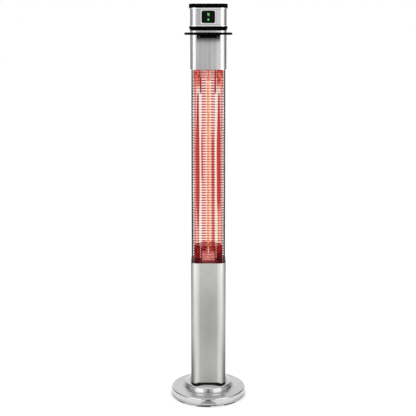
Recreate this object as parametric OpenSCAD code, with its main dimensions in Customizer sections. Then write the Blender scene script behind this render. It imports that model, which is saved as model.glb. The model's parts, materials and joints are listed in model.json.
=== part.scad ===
// Infrared patio heater tower: a round weighted base, a rounded-square column and a caged lamp.
// Origin on the floor under the column's axis, +Z up, the display faces -Y. Millimetres.

/* [Column] */
// Outer side of the rounded-square column
column_side = 120; // [112:1:130]
// Corner radius of the column
column_corner_r = 22; // [16:1:28]
// Thickness of the column and casing sheets
sheet_t = 1.5; // [1:0.1:2]
// Length of the lower column
lower_column_len = 429.6; // [350:0.2:520]
// Length of the upper casing
upper_casing_len = 126; // [120:1:160]

/* [Base] */
// Diameter of the base above its lip
base_d = 258; // [240:1:300]
// How far the bottom lip stands out from the base wall
base_lip_w = 1.2; // [0.6:0.1:3]
// Height of the bottom lip
base_lip_h = 7; // [4:0.5:10]
// Height of the flat top over the underside
base_wall_h = 26; // [24:0.5:34]
// Radius of the upper edge of the base
base_edge_r = 5; // [3:0.5:8]
// Thickness of the spun base sheet
base_sheet_t = 1.2; // [0.8:0.1:2]
// How far the boss reaches past the column's corners
boss_margin = 7.3; // [6:0.1:12]
// Height of the steep wall of the boss
boss_wall_h = 10.5; // [8:0.5:16]
// Radius of the shoulder of the boss
boss_edge_r = 9; // [7:0.5:12]
// Concave radius at the foot of the boss
boss_foot_r = 3; // [2:0.5:5]
// Slope of the crown of the boss, in degrees
crown_slope = 24; // [14:1:28]
// Diameter of the flat seat on the crown
seat_d = 128; // [118:1:130]
// Thickness of the gasket at the flat seat
gasket_t = 3.6; // [3:0.1:7]

/* [Feet and ballast] */
// Number of rubber pads
pad_count = 8; // [4:1:8]
// Length of a pad along its arc
pad_len = 45; // [30:1:60]
// Width of a pad
pad_w = 16; // [10:1:18]
// Height of a pad
pad_h = 5; // [4.5:0.5:8]
// How far the pads lie inside the base wall
pad_inset = 4; // [2:0.5:8]
// Turn of the ring of pads, in degrees
pad_turn = -7.5; // [-22.5:0.5:22.5]
// Thickness of the bottom plate
base_plate_t = 3; // [2:0.5:4]
// Thickness of the ballast ring
ballast_t = 18; // [12:1:19]
// Diameter of the hole in the ballast ring
ballast_bore_d = 84; // [76:1:88]

/* [Guard and reflector] */
// Length of the lamp opening that the guard covers
guard_len = 653; // [500:1:760]
// How far the guard lies inside the column's outline
guard_inset = 2.5; // [1.5:0.1:4]
// Width and depth of a guard wire
wire_w = 2.4; // [1.8:0.1:3]
// Pitch of the guard wires
wire_pitch = 8.7; // [7:0.1:14]
// Half of the reflector's mouth
reflector_mouth = 47; // [42:0.5:49]
// Depth of the reflector trough
reflector_depth = 50; // [40:1:56]
// Height of the bare stretch under the reflector
reflector_foot = 56; // [30:1:70]
// Height of the bare stretch over the reflector
reflector_head = 27; // [24:1:40]
// Thickness of the reflector sheet
reflector_t = 0.8; // [0.5:0.1:1.2]
// Diameter of a support post
post_d = 8; // [6:0.5:10]
// Half of the distance between the support posts
post_half_gap = 27; // [24:0.5:30]
// Outer diameter of the wiring conduit
conduit_d = 9; // [8:0.5:9]

/* [Lamp] */
// Outer diameter of the quartz tube
quartz_d = 12; // [10:0.5:14]
// Wall of the quartz tube
quartz_wall = 1; // [0.8:0.1:1.6]
// Diameter of the carbon element
element_d = 5; // [3:0.5:6]
// Diameter of a ceramic lamp cap
lamp_cap_d = 17; // [15:0.5:20]
// Length of a ceramic lamp cap
lamp_cap_len = 24; // [20:1:34]
// Width of a lamp holder
holder_w = 42; // [36:1:44]
// Depth of a lamp holder
holder_depth = 26; // [24:1:28]

/* [Head] */
// How far the round heat shield reaches past the column's corners
shield_reach = 4.3; // [2:0.1:20]
// Thickness of the heat shield
shield_t = 8; // [5:0.5:12]
// Height of the steel band between heat shield and collar
neck_h = 6; // [4:0.5:12]
// Height of a shield bracket
lug_h = 9.5; // [8:0.5:14]
// Height of the lower tier of the collar
collar_low_h = 6; // [4:0.5:10]
// Height of the upper tier of the collar
collar_high_h = 7.8; // [6:0.2:12]
// How far the upper tier stands out from the column's outline
collar_overhang = 3; // [1:0.5:5]
// Length of the head casing
head_len = 58.8; // [57:0.2:80]
// Height of the top cap
cap_h = 13.4; // [11:0.2:20]
// How far the cap stands out from the column's outline
cap_overhang = 3.5; // [2:0.5:6]
// Width of the display window
window_w = 44; // [40:1:50]
// Height of the display window
window_h = 40; // [36:1:42]
// Corner radius of the display window
window_r = 6; // [4:0.5:8]

/* [Switches] */
// Tilt of the power rocker at its on stop, in degrees
rocker_tilt = 8; // [5:1:9]
// Radius of the power rocker's round ends
rocker_r = 13.2; // [12:0.1:14]
// Width of the power rocker
rocker_w = 14.6; // [12:0.1:16]
// Travel of the tip-over plunger
plunger_travel = 6; // [4:0.5:7]
// Diameter of the tip-over plunger
plunger_d = 8; // [6:0.5:9]

/* [Hidden] */
$fn = 64;

// One overrun for every cut
over = 1;
// Gap between seated pieces
seat_gap = 0.3;
// Radial clearance of a pin in its hole
pin_gap = 0.05;
// Radial clearance of a screw or bolt in its hole
bolt_gap = 0.3;

// Levels of the base, from the floor up
pad_top = pad_h;
plate_top = pad_top + base_plate_t;
ballast_top = plate_top + ballast_t;
base_top = pad_top + base_wall_h;

// The boss of the base follows the column's corners
corner_reach = (column_side / 2 - column_corner_r) * sqrt(2) + column_corner_r;
base_r = base_d / 2;
boss_r = corner_reach + boss_margin;
seat_r = seat_d / 2;
shoulder_r = boss_r - boss_edge_r;
shoulder_z = base_top + boss_wall_h;

function crown_start(inset) = [
    shoulder_r + (boss_edge_r - inset) * sin(crown_slope),
    shoulder_z + (boss_edge_r - inset) * cos(crown_slope)
];
function crown_level(inset) =
    crown_start(inset)[1] + (crown_start(inset)[0] - seat_r) * tan(crown_slope);
function arc(centre, radius, from, to, steps) = [
    for (step = [0 : steps])
        let (turn = from + (to - from) * step / steps)
            centre + radius * [cos(turn), sin(turn)]
];

// Levels of the column and the head
lower_column_z = crown_level(0) + gasket_t;
lower_column_top = lower_column_z + lower_column_len;
guard_top = lower_column_top + guard_len;
casing_top = guard_top + upper_casing_len;
collar_top = casing_top + collar_low_h + collar_high_h;
head_top = collar_top + head_len;

// Inner sizes of the sheets
inner_side = column_side - 2 * sheet_t;
inner_corner_r = column_corner_r - sheet_t;
skirt_t = 1.5;
skirt_h = 16;
mount_plate_t = 2;
plug_side = inner_side - 2 * seat_gap;
plug_corner_r = inner_corner_r - seat_gap;

module rounded_square(side, corner_r) {
    square([side - 2 * corner_r, side], center = true);
    square([side, side - 2 * corner_r], center = true);
    for (x = [-1, 1], y = [-1, 1])
        translate([x, y] * (side / 2 - corner_r))
            circle(r = corner_r);
}

module rounded_box_outline(width, height, corner_r) {
    square([width - 2 * corner_r, height], center = true);
    square([width, height - 2 * corner_r], center = true);
    for (x = [-1, 1], y = [-1, 1])
        translate([x * (width / 2 - corner_r), y * (height / 2 - corner_r)])
            circle(r = corner_r);
}

module rounded_tube(side, corner_r, wall, height) {
    linear_extrude(height)
        difference() {
            rounded_square(side, corner_r);
            rounded_square(side - 2 * wall, corner_r - wall);
        }
}

module rounded_prism(side, corner_r, height) {
    linear_extrude(height)
        rounded_square(side, corner_r);
}

// A sheet of even thickness folded along points, with mitred bends
function run_normal(from, to) = [from[1] - to[1], to[0] - from[0]] / norm(to - from);
function bend_offset(points, index) =
    let (
        last = len(points) - 1,
        before = run_normal(points[max(index - 1, 0)], points[max(index, 1)]),
        after = run_normal(points[min(index, last - 1)], points[min(index + 1, last)])
    )
    (before + after) / (1 + before * after);

module folded_sheet(points, thickness) {
    last = len(points) - 1;
    polygon(concat(
        [for (index = [0 : last]) points[index] + bend_offset(points, index) * thickness / 2],
        [for (index = [last : -1 : 0]) points[index] - bend_offset(points, index) * thickness / 2]
    ));
}

// Holes and pins along Y, on a face that looks towards -Y
module across(x, z) {
    translate([x, 0, z])
        rotate([90, 0, 0])
            children();
}

// Base: a spun sheet cover over a ballast ring
module base_outline(inset) {
    wall_r = base_r - inset;
    top_z = base_top - inset;
    edge_r = base_edge_r - inset;
    lip_r = wall_r + base_lip_w;
    lip_top = pad_top + base_lip_h - inset;
    side_r = boss_r - inset;
    foot_r = boss_foot_r + inset;
    start = crown_start(inset);
    polygon(concat(
        [[0, pad_top], [lip_r, pad_top], [lip_r, lip_top - base_lip_w], [wall_r, lip_top]],
        arc([wall_r - edge_r, top_z - edge_r], edge_r, 0, 90, 6),
        arc([side_r + foot_r, top_z + foot_r], foot_r, 270, 180, 4),
        arc([shoulder_r, shoulder_z], boss_edge_r - inset, 0, 90 - crown_slope, 8),
        [[seat_r, crown_level(inset)], [0, crown_level(inset)]]
    ));
}

// Bolts on a square clamp the column through the ballast
bolt_d = 8;
bolt_head_d = 14;
bolt_head_h = 3.6;
bolt_place = 36;
spacer_d = 15;
nut_w = 13;
nut_h = 6.5;
bracket_t = 3;
cable_hole_d = 26;

module at_bolts() {
    for (x = [-1, 1], y = [-1, 1])
        translate([x * bolt_place, y * bolt_place])
            children();
}

module base_cover() {
    crown = crown_level(0);
    color([0.74, 0.75, 0.76])
        difference() {
            rotate_extrude($fn = 96)
                difference() {
                    base_outline(0);
                    translate([0, -over])
                        square([base_r - base_sheet_t, base_plate_t + pad_top + over]);
                    base_outline(base_sheet_t);
                }
            at_bolts()
                cylinder(d = bolt_d + 2 * bolt_gap, h = crown + over);
            cylinder(d = cable_hole_d, h = crown + over);
        }
}

vent_d = 6;
vent_ring_r = ballast_bore_d / 2 - vent_d;

module base_plate() {
    color([0.30, 0.30, 0.31])
        translate([0, 0, pad_top])
            difference() {
                cylinder(r = base_r - base_sheet_t - seat_gap, h = base_plate_t, $fn = 96);
                at_bolts()
                    translate([0, 0, -over])
                        cylinder(d = bolt_d + 2 * bolt_gap, h = base_plate_t + 2 * over);
                translate([0, 0, -over])
                    cylinder(d = plunger_d + 2 * pin_gap, h = base_plate_t + 2 * over);
                for (index = [0 : 5])
                    rotate(60 * index)
                        translate([vent_ring_r, 0, -over])
                            cylinder(d = vent_d, h = base_plate_t + 2 * over);
            }
}

ballast_gap = 3;

module ballast_ring() {
    color([0.22, 0.22, 0.23])
        translate([0, 0, plate_top])
            difference() {
                cylinder(r = base_r - base_sheet_t - ballast_gap, h = ballast_t, $fn = 96);
                translate([0, 0, -over])
                    cylinder(d = ballast_bore_d, h = ballast_t + 2 * over);
                at_bolts()
                    translate([0, 0, -over])
                        cylinder(d = bolt_d + 2 * bolt_gap, h = ballast_t + 2 * over);
            }
}

module rubber_feet() {
    outer_r = base_r - pad_inset;
    middle_r = outer_r - pad_w / 2;
    pad_angle = pad_len / middle_r * 180 / PI;
    color([0.06, 0.06, 0.06])
        for (index = [0 : pad_count - 1])
            rotate(pad_turn + 360 / pad_count * index - pad_angle / 2)
                rotate_extrude(angle = pad_angle, $fn = 96)
                    translate([outer_r - pad_w, 0])
                        square([pad_w, pad_h]);
}

module base_bolts() {
    length = crown_level(0) + bracket_t + nut_h - pad_top;
    color([0.62, 0.63, 0.64])
        at_bolts()
            difference() {
                union() {
                    translate([0, 0, pad_top - bolt_head_h])
                        cylinder(d = bolt_head_d, h = bolt_head_h);
                    translate([0, 0, pad_top - bolt_head_h])
                        cylinder(d = bolt_d, h = bolt_head_h + length);
                }
                translate([0, 0, pad_top - bolt_head_h - over])
                    cylinder(d = bolt_d / 2, h = bolt_head_h / 2 + over, $fn = 6);
            }
}

module bolt_spacers() {
    spacer_h = crown_level(base_sheet_t) - ballast_top;
    color([0.55, 0.56, 0.58])
        at_bolts()
            translate([0, 0, ballast_top])
                difference() {
                    cylinder(d = spacer_d, h = spacer_h);
                    translate([0, 0, -over])
                        cylinder(d = bolt_d + 2 * bolt_gap, h = spacer_h + 2 * over);
                }
}

// A pan-shaped plate that plugs into the end of a column sheet
module plug_plate(plate_t) {
    difference() {
        union() {
            rounded_prism(plug_side, plug_corner_r, plate_t);
            rounded_tube(plug_side, plug_corner_r, skirt_t, skirt_h);
        }
        children();
    }
}

module foot_bracket() {
    color([0.60, 0.61, 0.62])
        translate([0, 0, crown_level(0)])
            plug_plate(bracket_t) {
                at_bolts()
                    translate([0, 0, -over])
                        cylinder(d = bolt_d + 2 * bolt_gap, h = bracket_t + 2 * over);
                translate([0, 0, -over])
                    cylinder(d = cable_hole_d, h = bracket_t + 2 * over);
                rear_screw_holes([lower_column_z + rear_screw_inset - crown_level(0)]);
            }
}

module bolt_nuts() {
    color([0.62, 0.63, 0.64])
        at_bolts()
            translate([0, 0, crown_level(0) + bracket_t])
                difference() {
                    cylinder(d = nut_w / cos(30), h = nut_h, $fn = 6);
                    translate([0, 0, -over])
                        cylinder(d = bolt_d + 2 * pin_gap, h = nut_h + 2 * over);
                }
}

module column_gasket() {
    gasket_low = base_top + boss_wall_h;
    height = lower_column_z - gasket_low;
    color([0.04, 0.04, 0.04])
        difference() {
            translate([0, 0, gasket_low])
                rounded_tube(column_side, column_corner_r, column_corner_r / 2, height);
            rotate_extrude($fn = 96)
                base_outline(0);
            translate([0, 0, gasket_low])
                rounded_prism(plug_side + 2 * seat_gap, plug_corner_r + seat_gap, height + over);
        }
}

// Screws on the hidden rear face hold the plug plates
rear_screw_d = 4;
rear_screw_head_d = 7.5;
rear_screw_head_h = 2.2;
rear_screw_len = 8;
rear_screw_x = 28;
rear_screw_inset = 9;
rear_screw_levels = [
    lower_column_z + rear_screw_inset,
    lower_column_top - rear_screw_inset,
    guard_top + rear_screw_inset
];

module rear_screw_holes(levels) {
    for (x = [-1, 1], z = levels)
        translate([0, column_side / 2 + over, 0])
            across(x * rear_screw_x, z)
                cylinder(d = rear_screw_d + 2 * pin_gap, h = column_corner_r / 2 + over);
}

module rear_screws() {
    color([0.62, 0.63, 0.64])
        for (x = [-1, 1], z = rear_screw_levels)
            translate([0, column_side / 2, 0])
                across(x * rear_screw_x, z) {
                    cylinder(d = rear_screw_d, h = rear_screw_len);
                    translate([0, 0, -rear_screw_head_h])
                        difference() {
                            cylinder(d = rear_screw_head_d, h = rear_screw_head_h);
                            translate([0, 0, -over])
                                cylinder(d = rear_screw_d / 2, h = rear_screw_head_h / 2 + over, $fn = 6);
                        }
                }
}

// Power rocker and cable entry, on the rear face near the base
switch_x = -19;
switch_rise = 58;
switch_z = lower_column_z + switch_rise;
switch_wall = 2;
pin_reach_share = 0.8;
switch_depth = 17;
switch_bezel_w = 3;
switch_bezel_t = 2;
pocket_gap = 0.3;
pocket_w = rocker_w + 2 * pocket_gap;
pocket_h = 2 * rocker_r + 2 * pocket_gap;
rocker_pivot_depth = 5;
rocker_back_depth = 5;
rocker_valley = 5.2;
rocker_pin_d = 3;
switch_face_y = column_side / 2 + switch_bezel_t;
rocker_pivot_y = switch_face_y - rocker_pivot_depth;
gland_x = 22;
gland_rise = 42;
gland_z = lower_column_z + gland_rise;
gland_d = 20;
gland_bore_d = 9;
gland_flange_d = 27;
gland_flange_t = 6;
gland_nose_len = 12;
gland_nose_d = 19;
gland_tail_len = 12;
gland_nut_t = 5;

module lower_column() {
    height = lower_column_top - lower_column_z;
    color([0.66, 0.66, 0.65])
        difference() {
            translate([0, 0, lower_column_z])
                rounded_tube(column_side, column_corner_r, sheet_t, height);
            rear_screw_holes([rear_screw_levels[0], rear_screw_levels[1]]);
            translate([0, column_side / 2 + over, 0])
                across(switch_x, switch_z)
                    linear_extrude(sheet_t + 2 * over)
                        square([
                            pocket_w + 2 * switch_wall + 2 * pocket_gap,
                            pocket_h + 2 * switch_wall + 2 * pocket_gap
                        ], center = true);
            translate([0, column_side / 2 + over, 0])
                across(gland_x, gland_z)
                    cylinder(d = gland_d + 2 * bolt_gap, h = sheet_t + 2 * over);
        }
}

module switch_housing() {
    width = pocket_w + 2 * switch_wall;
    height = pocket_h + 2 * switch_wall;
    pin_hole_len = pocket_w + 2 * switch_wall + 2 * over;
    color([0.05, 0.05, 0.05])
        difference() {
            translate([0, switch_face_y, 0])
                across(switch_x, switch_z) {
                    linear_extrude(switch_bezel_t)
                        rounded_box_outline(
                            width + 2 * switch_bezel_w, height + 2 * switch_bezel_w, switch_bezel_w
                        );
                    linear_extrude(switch_bezel_t + switch_depth)
                        square([width, height], center = true);
                }
            translate([0, switch_face_y + over, 0])
                across(switch_x, switch_z)
                    linear_extrude(over + switch_bezel_t + switch_depth - switch_wall)
                        square([pocket_w, pocket_h], center = true);
            translate([switch_x, rocker_pivot_y, switch_z])
                rotate([0, 90, 0])
                    cylinder(d = rocker_pin_d + 2 * pin_gap, h = pin_hole_len, center = true);
        }
}

// The rocker turns on its own pins, across X. It stands at its on stop.
module power_rocker() {
    rise = rocker_r * tan(rocker_tilt);
    pin_len = rocker_w + 2 * pin_reach_share * switch_wall;
    color([0.07, 0.07, 0.07])
        translate([switch_x, rocker_pivot_y, switch_z])
            rotate([rocker_tilt, 0, 0])
                rotate([90, 0, 90]) {
                    translate([0, 0, -rocker_w / 2])
                        linear_extrude(rocker_w)
                            intersection() {
                                circle(r = rocker_r);
                                polygon([
                                    [-rocker_back_depth, -rocker_r],
                                    [rocker_valley + rise, -rocker_r],
                                    [rocker_valley, 0],
                                    [rocker_valley + rise, rocker_r],
                                    [-rocker_back_depth, rocker_r]
                                ]);
                            }
                    cylinder(d = rocker_pin_d, h = pin_len, center = true);
                }
}

module cable_gland() {
    color([0.05, 0.05, 0.05])
        translate([0, column_side / 2 + gland_flange_t, 0])
            across(gland_x, gland_z)
                difference() {
                    union() {
                        cylinder(d = gland_flange_d, h = gland_flange_t, $fn = 6);
                        translate([0, 0, -gland_nose_len])
                            cylinder(d1 = gland_bore_d + 2 * switch_wall, d2 = gland_nose_d, h = gland_nose_len);
                        cylinder(d = gland_d, h = gland_flange_t + sheet_t + gland_tail_len);
                    }
                    translate([0, 0, -gland_nose_len - over])
                        cylinder(
                            d = gland_bore_d,
                            h = gland_nose_len + gland_flange_t + sheet_t + gland_tail_len + 2 * over
                        );
                }
}

module gland_nut() {
    color([0.05, 0.05, 0.05])
        translate([0, column_side / 2 - sheet_t, 0])
            across(gland_x, gland_z)
                difference() {
                    cylinder(d = gland_flange_d, h = gland_nut_t, $fn = 6);
                    translate([0, 0, -over])
                        cylinder(d = gland_d + 2 * pin_gap, h = gland_nut_t + 2 * over);
                }
}

// Terminal block on an angle bracket that stands on the foot bracket
terminal_w = 44;
terminal_h = 18;
terminal_t = 14;
terminal_pole_count = 4;
terminal_pole_pitch = 11;
terminal_hole_d = 6;
terminal_bracket_w = 52;
terminal_bracket_h = 90;
terminal_bracket_t = 1.5;
terminal_bracket_y = -22;
terminal_foot = 18;
terminal_rise = 64;
terminal_z = crown_level(0) + bracket_t + terminal_rise;

module terminal_bracket() {
    low = crown_level(0) + bracket_t;
    color([0.70, 0.70, 0.70])
        translate([-terminal_bracket_w / 2, terminal_bracket_y, low]) {
            cube([terminal_bracket_w, terminal_bracket_t, terminal_bracket_h]);
            translate([0, -terminal_foot, 0])
                cube([terminal_bracket_w, terminal_foot, terminal_bracket_t]);
        }
}

module terminal_block() {
    color([0.90, 0.90, 0.87])
        translate([0, terminal_bracket_y + terminal_bracket_t, terminal_z])
            difference() {
                translate([-terminal_w / 2, 0, -terminal_h / 2])
                    cube([terminal_w, terminal_t, terminal_h]);
                for (index = [0 : terminal_pole_count - 1])
                    translate([
                        (index - (terminal_pole_count - 1) / 2) * terminal_pole_pitch,
                        terminal_t / 2,
                        -terminal_h
                    ])
                        cylinder(d = terminal_hole_d, h = 2 * terminal_h);
            }
}

// Lamp bay: two plug plates, posts between them, the guard round them
post_y = 22;
post_thread_share = 0.75;
post_nut_w = 10;
post_nut_h = 5;
lamp_y = 3;
loom_d = 6;
loom_y = 49.3;

module at_posts() {
    for (x = [-1, 1])
        translate([x * post_half_gap, post_y])
            children();
}

module bay_holes(height) {
    at_posts()
        translate([0, 0, -over])
            cylinder(d = post_d * post_thread_share + 2 * bolt_gap, h = height + 2 * over);
    translate([0, loom_y, -over])
        cylinder(d = loom_d + 2 * bolt_gap, h = height + 2 * over);
}

module lower_mount_plate() {
    color([0.60, 0.61, 0.62])
        translate([0, 0, lower_column_top])
            mirror([0, 0, 1])
                plug_plate(mount_plate_t) {
                    bay_holes(mount_plate_t);
                    rear_screw_holes([rear_screw_inset]);
                }
}

module upper_mount_plate() {
    color([0.60, 0.61, 0.62])
        translate([0, 0, guard_top])
            plug_plate(mount_plate_t) {
                bay_holes(mount_plate_t);
                rear_screw_holes([rear_screw_inset]);
            }
}

module support_posts() {
    thread_len = mount_plate_t + post_nut_h;
    color([0.75, 0.75, 0.74])
        at_posts() {
            translate([0, 0, lower_column_top])
                cylinder(d = post_d, h = guard_len);
            translate([0, 0, lower_column_top - thread_len])
                cylinder(d = post_d * post_thread_share, h = guard_len + 2 * thread_len);
        }
}

module post_nuts() {
    color([0.62, 0.63, 0.64])
        at_posts()
            for (z = [lower_column_top - mount_plate_t - post_nut_h, guard_top + mount_plate_t])
                translate([0, 0, z])
                    difference() {
                        cylinder(d = post_nut_w / cos(30), h = post_nut_h, $fn = 6);
                        translate([0, 0, -over])
                            cylinder(d = post_d * post_thread_share + 2 * pin_gap, h = post_nut_h + 2 * over);
                    }
}

// The guard: closed wire rings welded to uprights inside them
guard_side = column_side - 2 * guard_inset;
guard_corner_r = column_corner_r - guard_inset;
ring_count = floor((guard_len - wire_w) / wire_pitch);
ring_margin = (guard_len - wire_w - (ring_count - 1) * wire_pitch) / 2;
weld_share = 0.15;
upright_reach = guard_side / 2 - guard_corner_r - wire_w;

module guard_ring() {
    rounded_tube(guard_side, guard_corner_r, wire_w, wire_w);
}

module wire_guard() {
    inner_x = guard_side / 2 - 2 * wire_w + wire_w * weld_share;
    color([0.50, 0.47, 0.46]) {
        for (index = [0 : ring_count - 1])
            translate([0, 0, lower_column_top + ring_margin + index * wire_pitch])
                guard_ring();
        for (side = [0, 180], place = [-upright_reach, -wire_w / 2, upright_reach - wire_w])
            rotate(side)
                translate([inner_x, place, lower_column_top])
                    cube([wire_w, wire_w, guard_len]);
    }
}

// Reflector: a polished sheet bent into a trough, open to the front
bend_x_shares = [0.2, 0.44, 0.78, 1];
bend_y_shares = [0, 0.1, 0.44, 1];
trough_gap = 2;
trough_back_y = post_y - post_d / 2 - trough_gap;
back_gap = 1;
back_x = reflector_mouth + reflector_t + back_gap;
back_y = post_y + post_d / 2 + conduit_d / 2;
back_corner = 14;

function trough_side(side) = [
    for (index = [0 : len(bend_x_shares) - 1])
        [
            side * bend_x_shares[index] * reflector_mouth,
            trough_back_y - bend_y_shares[index] * reflector_depth
        ]
];
function reversed(points) = [for (index = [len(points) - 1 : -1 : 0]) points[index]];
trough_points = concat(reversed(trough_side(-1)), trough_side(1));
trough_front_y = trough_back_y - reflector_depth;
back_half = [
    [back_x, trough_front_y],
    [back_x, back_y - back_corner],
    [back_x - back_corner, back_y]
];
back_points = concat(
    [for (point = back_half) [-point[0], point[1]]],
    reversed(back_half)
);
reflector_low = lower_column_top + reflector_foot;
reflector_high = guard_top - reflector_head;
reflector_len = reflector_high - reflector_low;

module reflector() {
    color([0.88, 0.62, 0.52])
        translate([0, 0, reflector_low])
            linear_extrude(reflector_len)
                folded_sheet(trough_points, reflector_t);
}

// The back sheet stands between the mount plates, round the posts
module reflector_back() {
    color([0.66, 0.66, 0.67])
        translate([0, 0, lower_column_top])
            linear_extrude(guard_len)
                folded_sheet(back_points, reflector_t);
}

// End plates close the trough inside the back sheet and ride on the posts
end_plate_t = 1.2;
end_notch_d = lamp_cap_d + 6;

module reflector_ends() {
    color([0.80, 0.60, 0.52])
        for (z = [reflector_low - end_plate_t, reflector_high])
            translate([0, 0, z])
                linear_extrude(end_plate_t)
                    difference() {
                        polygon(back_points);
                        folded_sheet(back_points, reflector_t);
                        at_posts()
                            circle(d = post_d + 2 * bolt_gap);
                        translate([0, lamp_y])
                            circle(d = end_notch_d);
                    }
}

// Lamp: a quartz tube with a carbon element, held in ceramic caps
holder_h = 24;
cap_depth = 10;
lamp_low = lower_column_top + holder_h - cap_depth;
lamp_high = guard_top - holder_h + cap_depth;
cap_seat = 6;
tube_low = lamp_low + lamp_cap_len - cap_seat;
tube_high = lamp_high - lamp_cap_len + cap_seat;

module quartz_tube() {
    color([0.95, 0.80, 0.66, 0.4])
        translate([0, lamp_y, tube_low])
            difference() {
                cylinder(d = quartz_d, h = tube_high - tube_low);
                translate([0, 0, -over])
                    cylinder(d = quartz_d - 2 * quartz_wall, h = tube_high - tube_low + 2 * over);
            }
}

module carbon_element() {
    pin_d = element_d / 2;
    reach = cap_seat / 2;
    color([1.0, 0.52, 0.12])
        translate([0, lamp_y, 0]) {
            translate([0, 0, tube_low + lamp_cap_len])
                cylinder(d = element_d, h = tube_high - tube_low - 2 * lamp_cap_len);
            translate([0, 0, tube_low - reach])
                cylinder(d = pin_d, h = tube_high - tube_low + 2 * reach);
        }
}

module lamp_cap() {
    pin_d = element_d / 2;
    difference() {
        cylinder(d = lamp_cap_d, h = lamp_cap_len);
        translate([0, 0, lamp_cap_len - cap_seat])
            cylinder(d = quartz_d + 2 * pin_gap, h = cap_seat + over);
        translate([0, 0, lamp_cap_len - 2 * cap_seat])
            cylinder(d = pin_d + 2 * pin_gap, h = cap_seat + over);
    }
}

module lamp_caps() {
    color([0.93, 0.90, 0.85])
        translate([0, lamp_y, 0]) {
            translate([0, 0, lamp_low])
                lamp_cap();
            translate([0, 0, lamp_high])
                mirror([0, 0, 1])
                    lamp_cap();
        }
}

module lamp_holder() {
    difference() {
        translate([0, 0, holder_h / 2])
            cube([holder_w, holder_depth, holder_h], center = true);
        translate([0, 0, holder_h - cap_depth])
            cylinder(d = lamp_cap_d + 2 * pin_gap, h = cap_depth + over);
    }
}

module lamp_holders() {
    color([0.86, 0.82, 0.76])
        translate([0, lamp_y, 0]) {
            translate([0, 0, lower_column_top])
                lamp_holder();
            translate([0, 0, guard_top])
                mirror([0, 0, 1])
                    lamp_holder();
        }
}

// Wiring runs up a steel conduit behind the reflector
conduit_wall = 1;
loom_end_z = terminal_z + terminal_h;

module wiring_conduit() {
    color([0.55, 0.55, 0.56])
        translate([0, loom_y, lower_column_top])
            difference() {
                cylinder(d = conduit_d, h = guard_len);
                translate([0, 0, -over])
                    cylinder(d = conduit_d - 2 * conduit_wall, h = guard_len + 2 * over);
            }
}

module wire_loom() {
    color([0.80, 0.78, 0.70])
        translate([0, loom_y, loom_end_z])
            cylinder(d = loom_d, h = board_z - loom_end_z);
}

// Electronics over the lamp bay, on an insulation board
insulation_t = 10;
insulation_z = guard_top + mount_plate_t;
standoff_d = 7;
standoff_h = 20;
standoff_place = 42;
board_t = 1.6;
board_side = 98;
board_z = insulation_z + insulation_t + standoff_h;
inside_side = plug_side - 2 * skirt_t - 2 * seat_gap;
inside_corner_r = plug_corner_r - skirt_t - seat_gap;

module at_standoffs() {
    for (x = [-1, 1], y = [-1, 1])
        translate([x * standoff_place, y * standoff_place])
            children();
}

// The thermal cut-out sits under the upper mount plate, behind the lamp holder
cutout_d = 12;
cutout_h = 7;
cutout_gap = 1;
cutout_y = lamp_y + holder_depth / 2 + cutout_gap + cutout_d / 2;

module thermal_cutout() {
    color([0.80, 0.80, 0.80])
        translate([0, cutout_y, guard_top - cutout_h]) {
            cylinder(d = cutout_d, h = cutout_h);
            translate([0, 0, -cutout_h / 2])
                cylinder(d = cutout_d / 2, h = cutout_h);
        }
}

module insulation_board() {
    color([0.86, 0.85, 0.82])
        translate([0, 0, insulation_z])
            difference() {
                rounded_prism(inside_side, inside_corner_r, insulation_t);
                at_posts()
                    translate([0, 0, -over])
                        cylinder(d = post_nut_w / cos(30) + 2 * bolt_gap, h = insulation_t + 2 * over);
                translate([0, loom_y, -over])
                    cylinder(d = loom_d + 2 * bolt_gap, h = insulation_t + 2 * over);
                for (x = [-1, 1])
                    translate([x * rear_screw_x, inside_side / 2, rear_screw_inset - mount_plate_t])
                        cube([2 * rear_screw_d, 2 * rear_screw_len, 2 * rear_screw_d], center = true);
            }
}

module board_standoffs() {
    color([0.78, 0.70, 0.42])
        at_standoffs()
            translate([0, 0, insulation_z + insulation_t])
                cylinder(d = standoff_d, h = standoff_h, $fn = 24);
}

module control_board() {
    color([0.10, 0.36, 0.20])
        translate([0, 0, board_z])
            linear_extrude(board_t)
                difference() {
                    square(board_side, center = true);
                    circle(d = cable_hole_d / 2);
                }
}

relay_size = [16, 20, 16];
relay_x = 30;
relay_y = 22;

module power_relays() {
    color([0.12, 0.14, 0.18])
        for (y = [-1, 1])
            translate([relay_x - relay_size[0] / 2, y * relay_y - relay_size[1] / 2, board_z + board_t])
                cube(relay_size);
}

transformer_core = [36, 14, 30];
transformer_coil_d = 24;
transformer_x = -26;

module transformer() {
    low = board_z + board_t;
    color([0.35, 0.24, 0.12])
        translate([transformer_x, 0, low]) {
            translate([-transformer_core[0] / 2, -transformer_core[1] / 2, 0])
                cube(transformer_core);
            translate([0, 0, transformer_core[2] / 2])
                rotate([90, 0, 0])
                    cylinder(d = transformer_coil_d, h = 2 * transformer_core[1], center = true);
        }
}

module upper_casing() {
    color([0.74, 0.74, 0.74])
        difference() {
            translate([0, 0, guard_top])
                rounded_tube(column_side, column_corner_r, sheet_t, upper_casing_len);
            rear_screw_holes([rear_screw_levels[2]]);
            for (turn = [0, 180], x = [-1, 1])
                rotate(turn)
                    translate([0, -column_side / 2 + 2 * sheet_t, 0])
                        across(x * lug_screw_x, lug_screw_z)
                            cylinder(d = lug_screw_d + 2 * pin_gap, h = 3 * sheet_t);
        }
}

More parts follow.
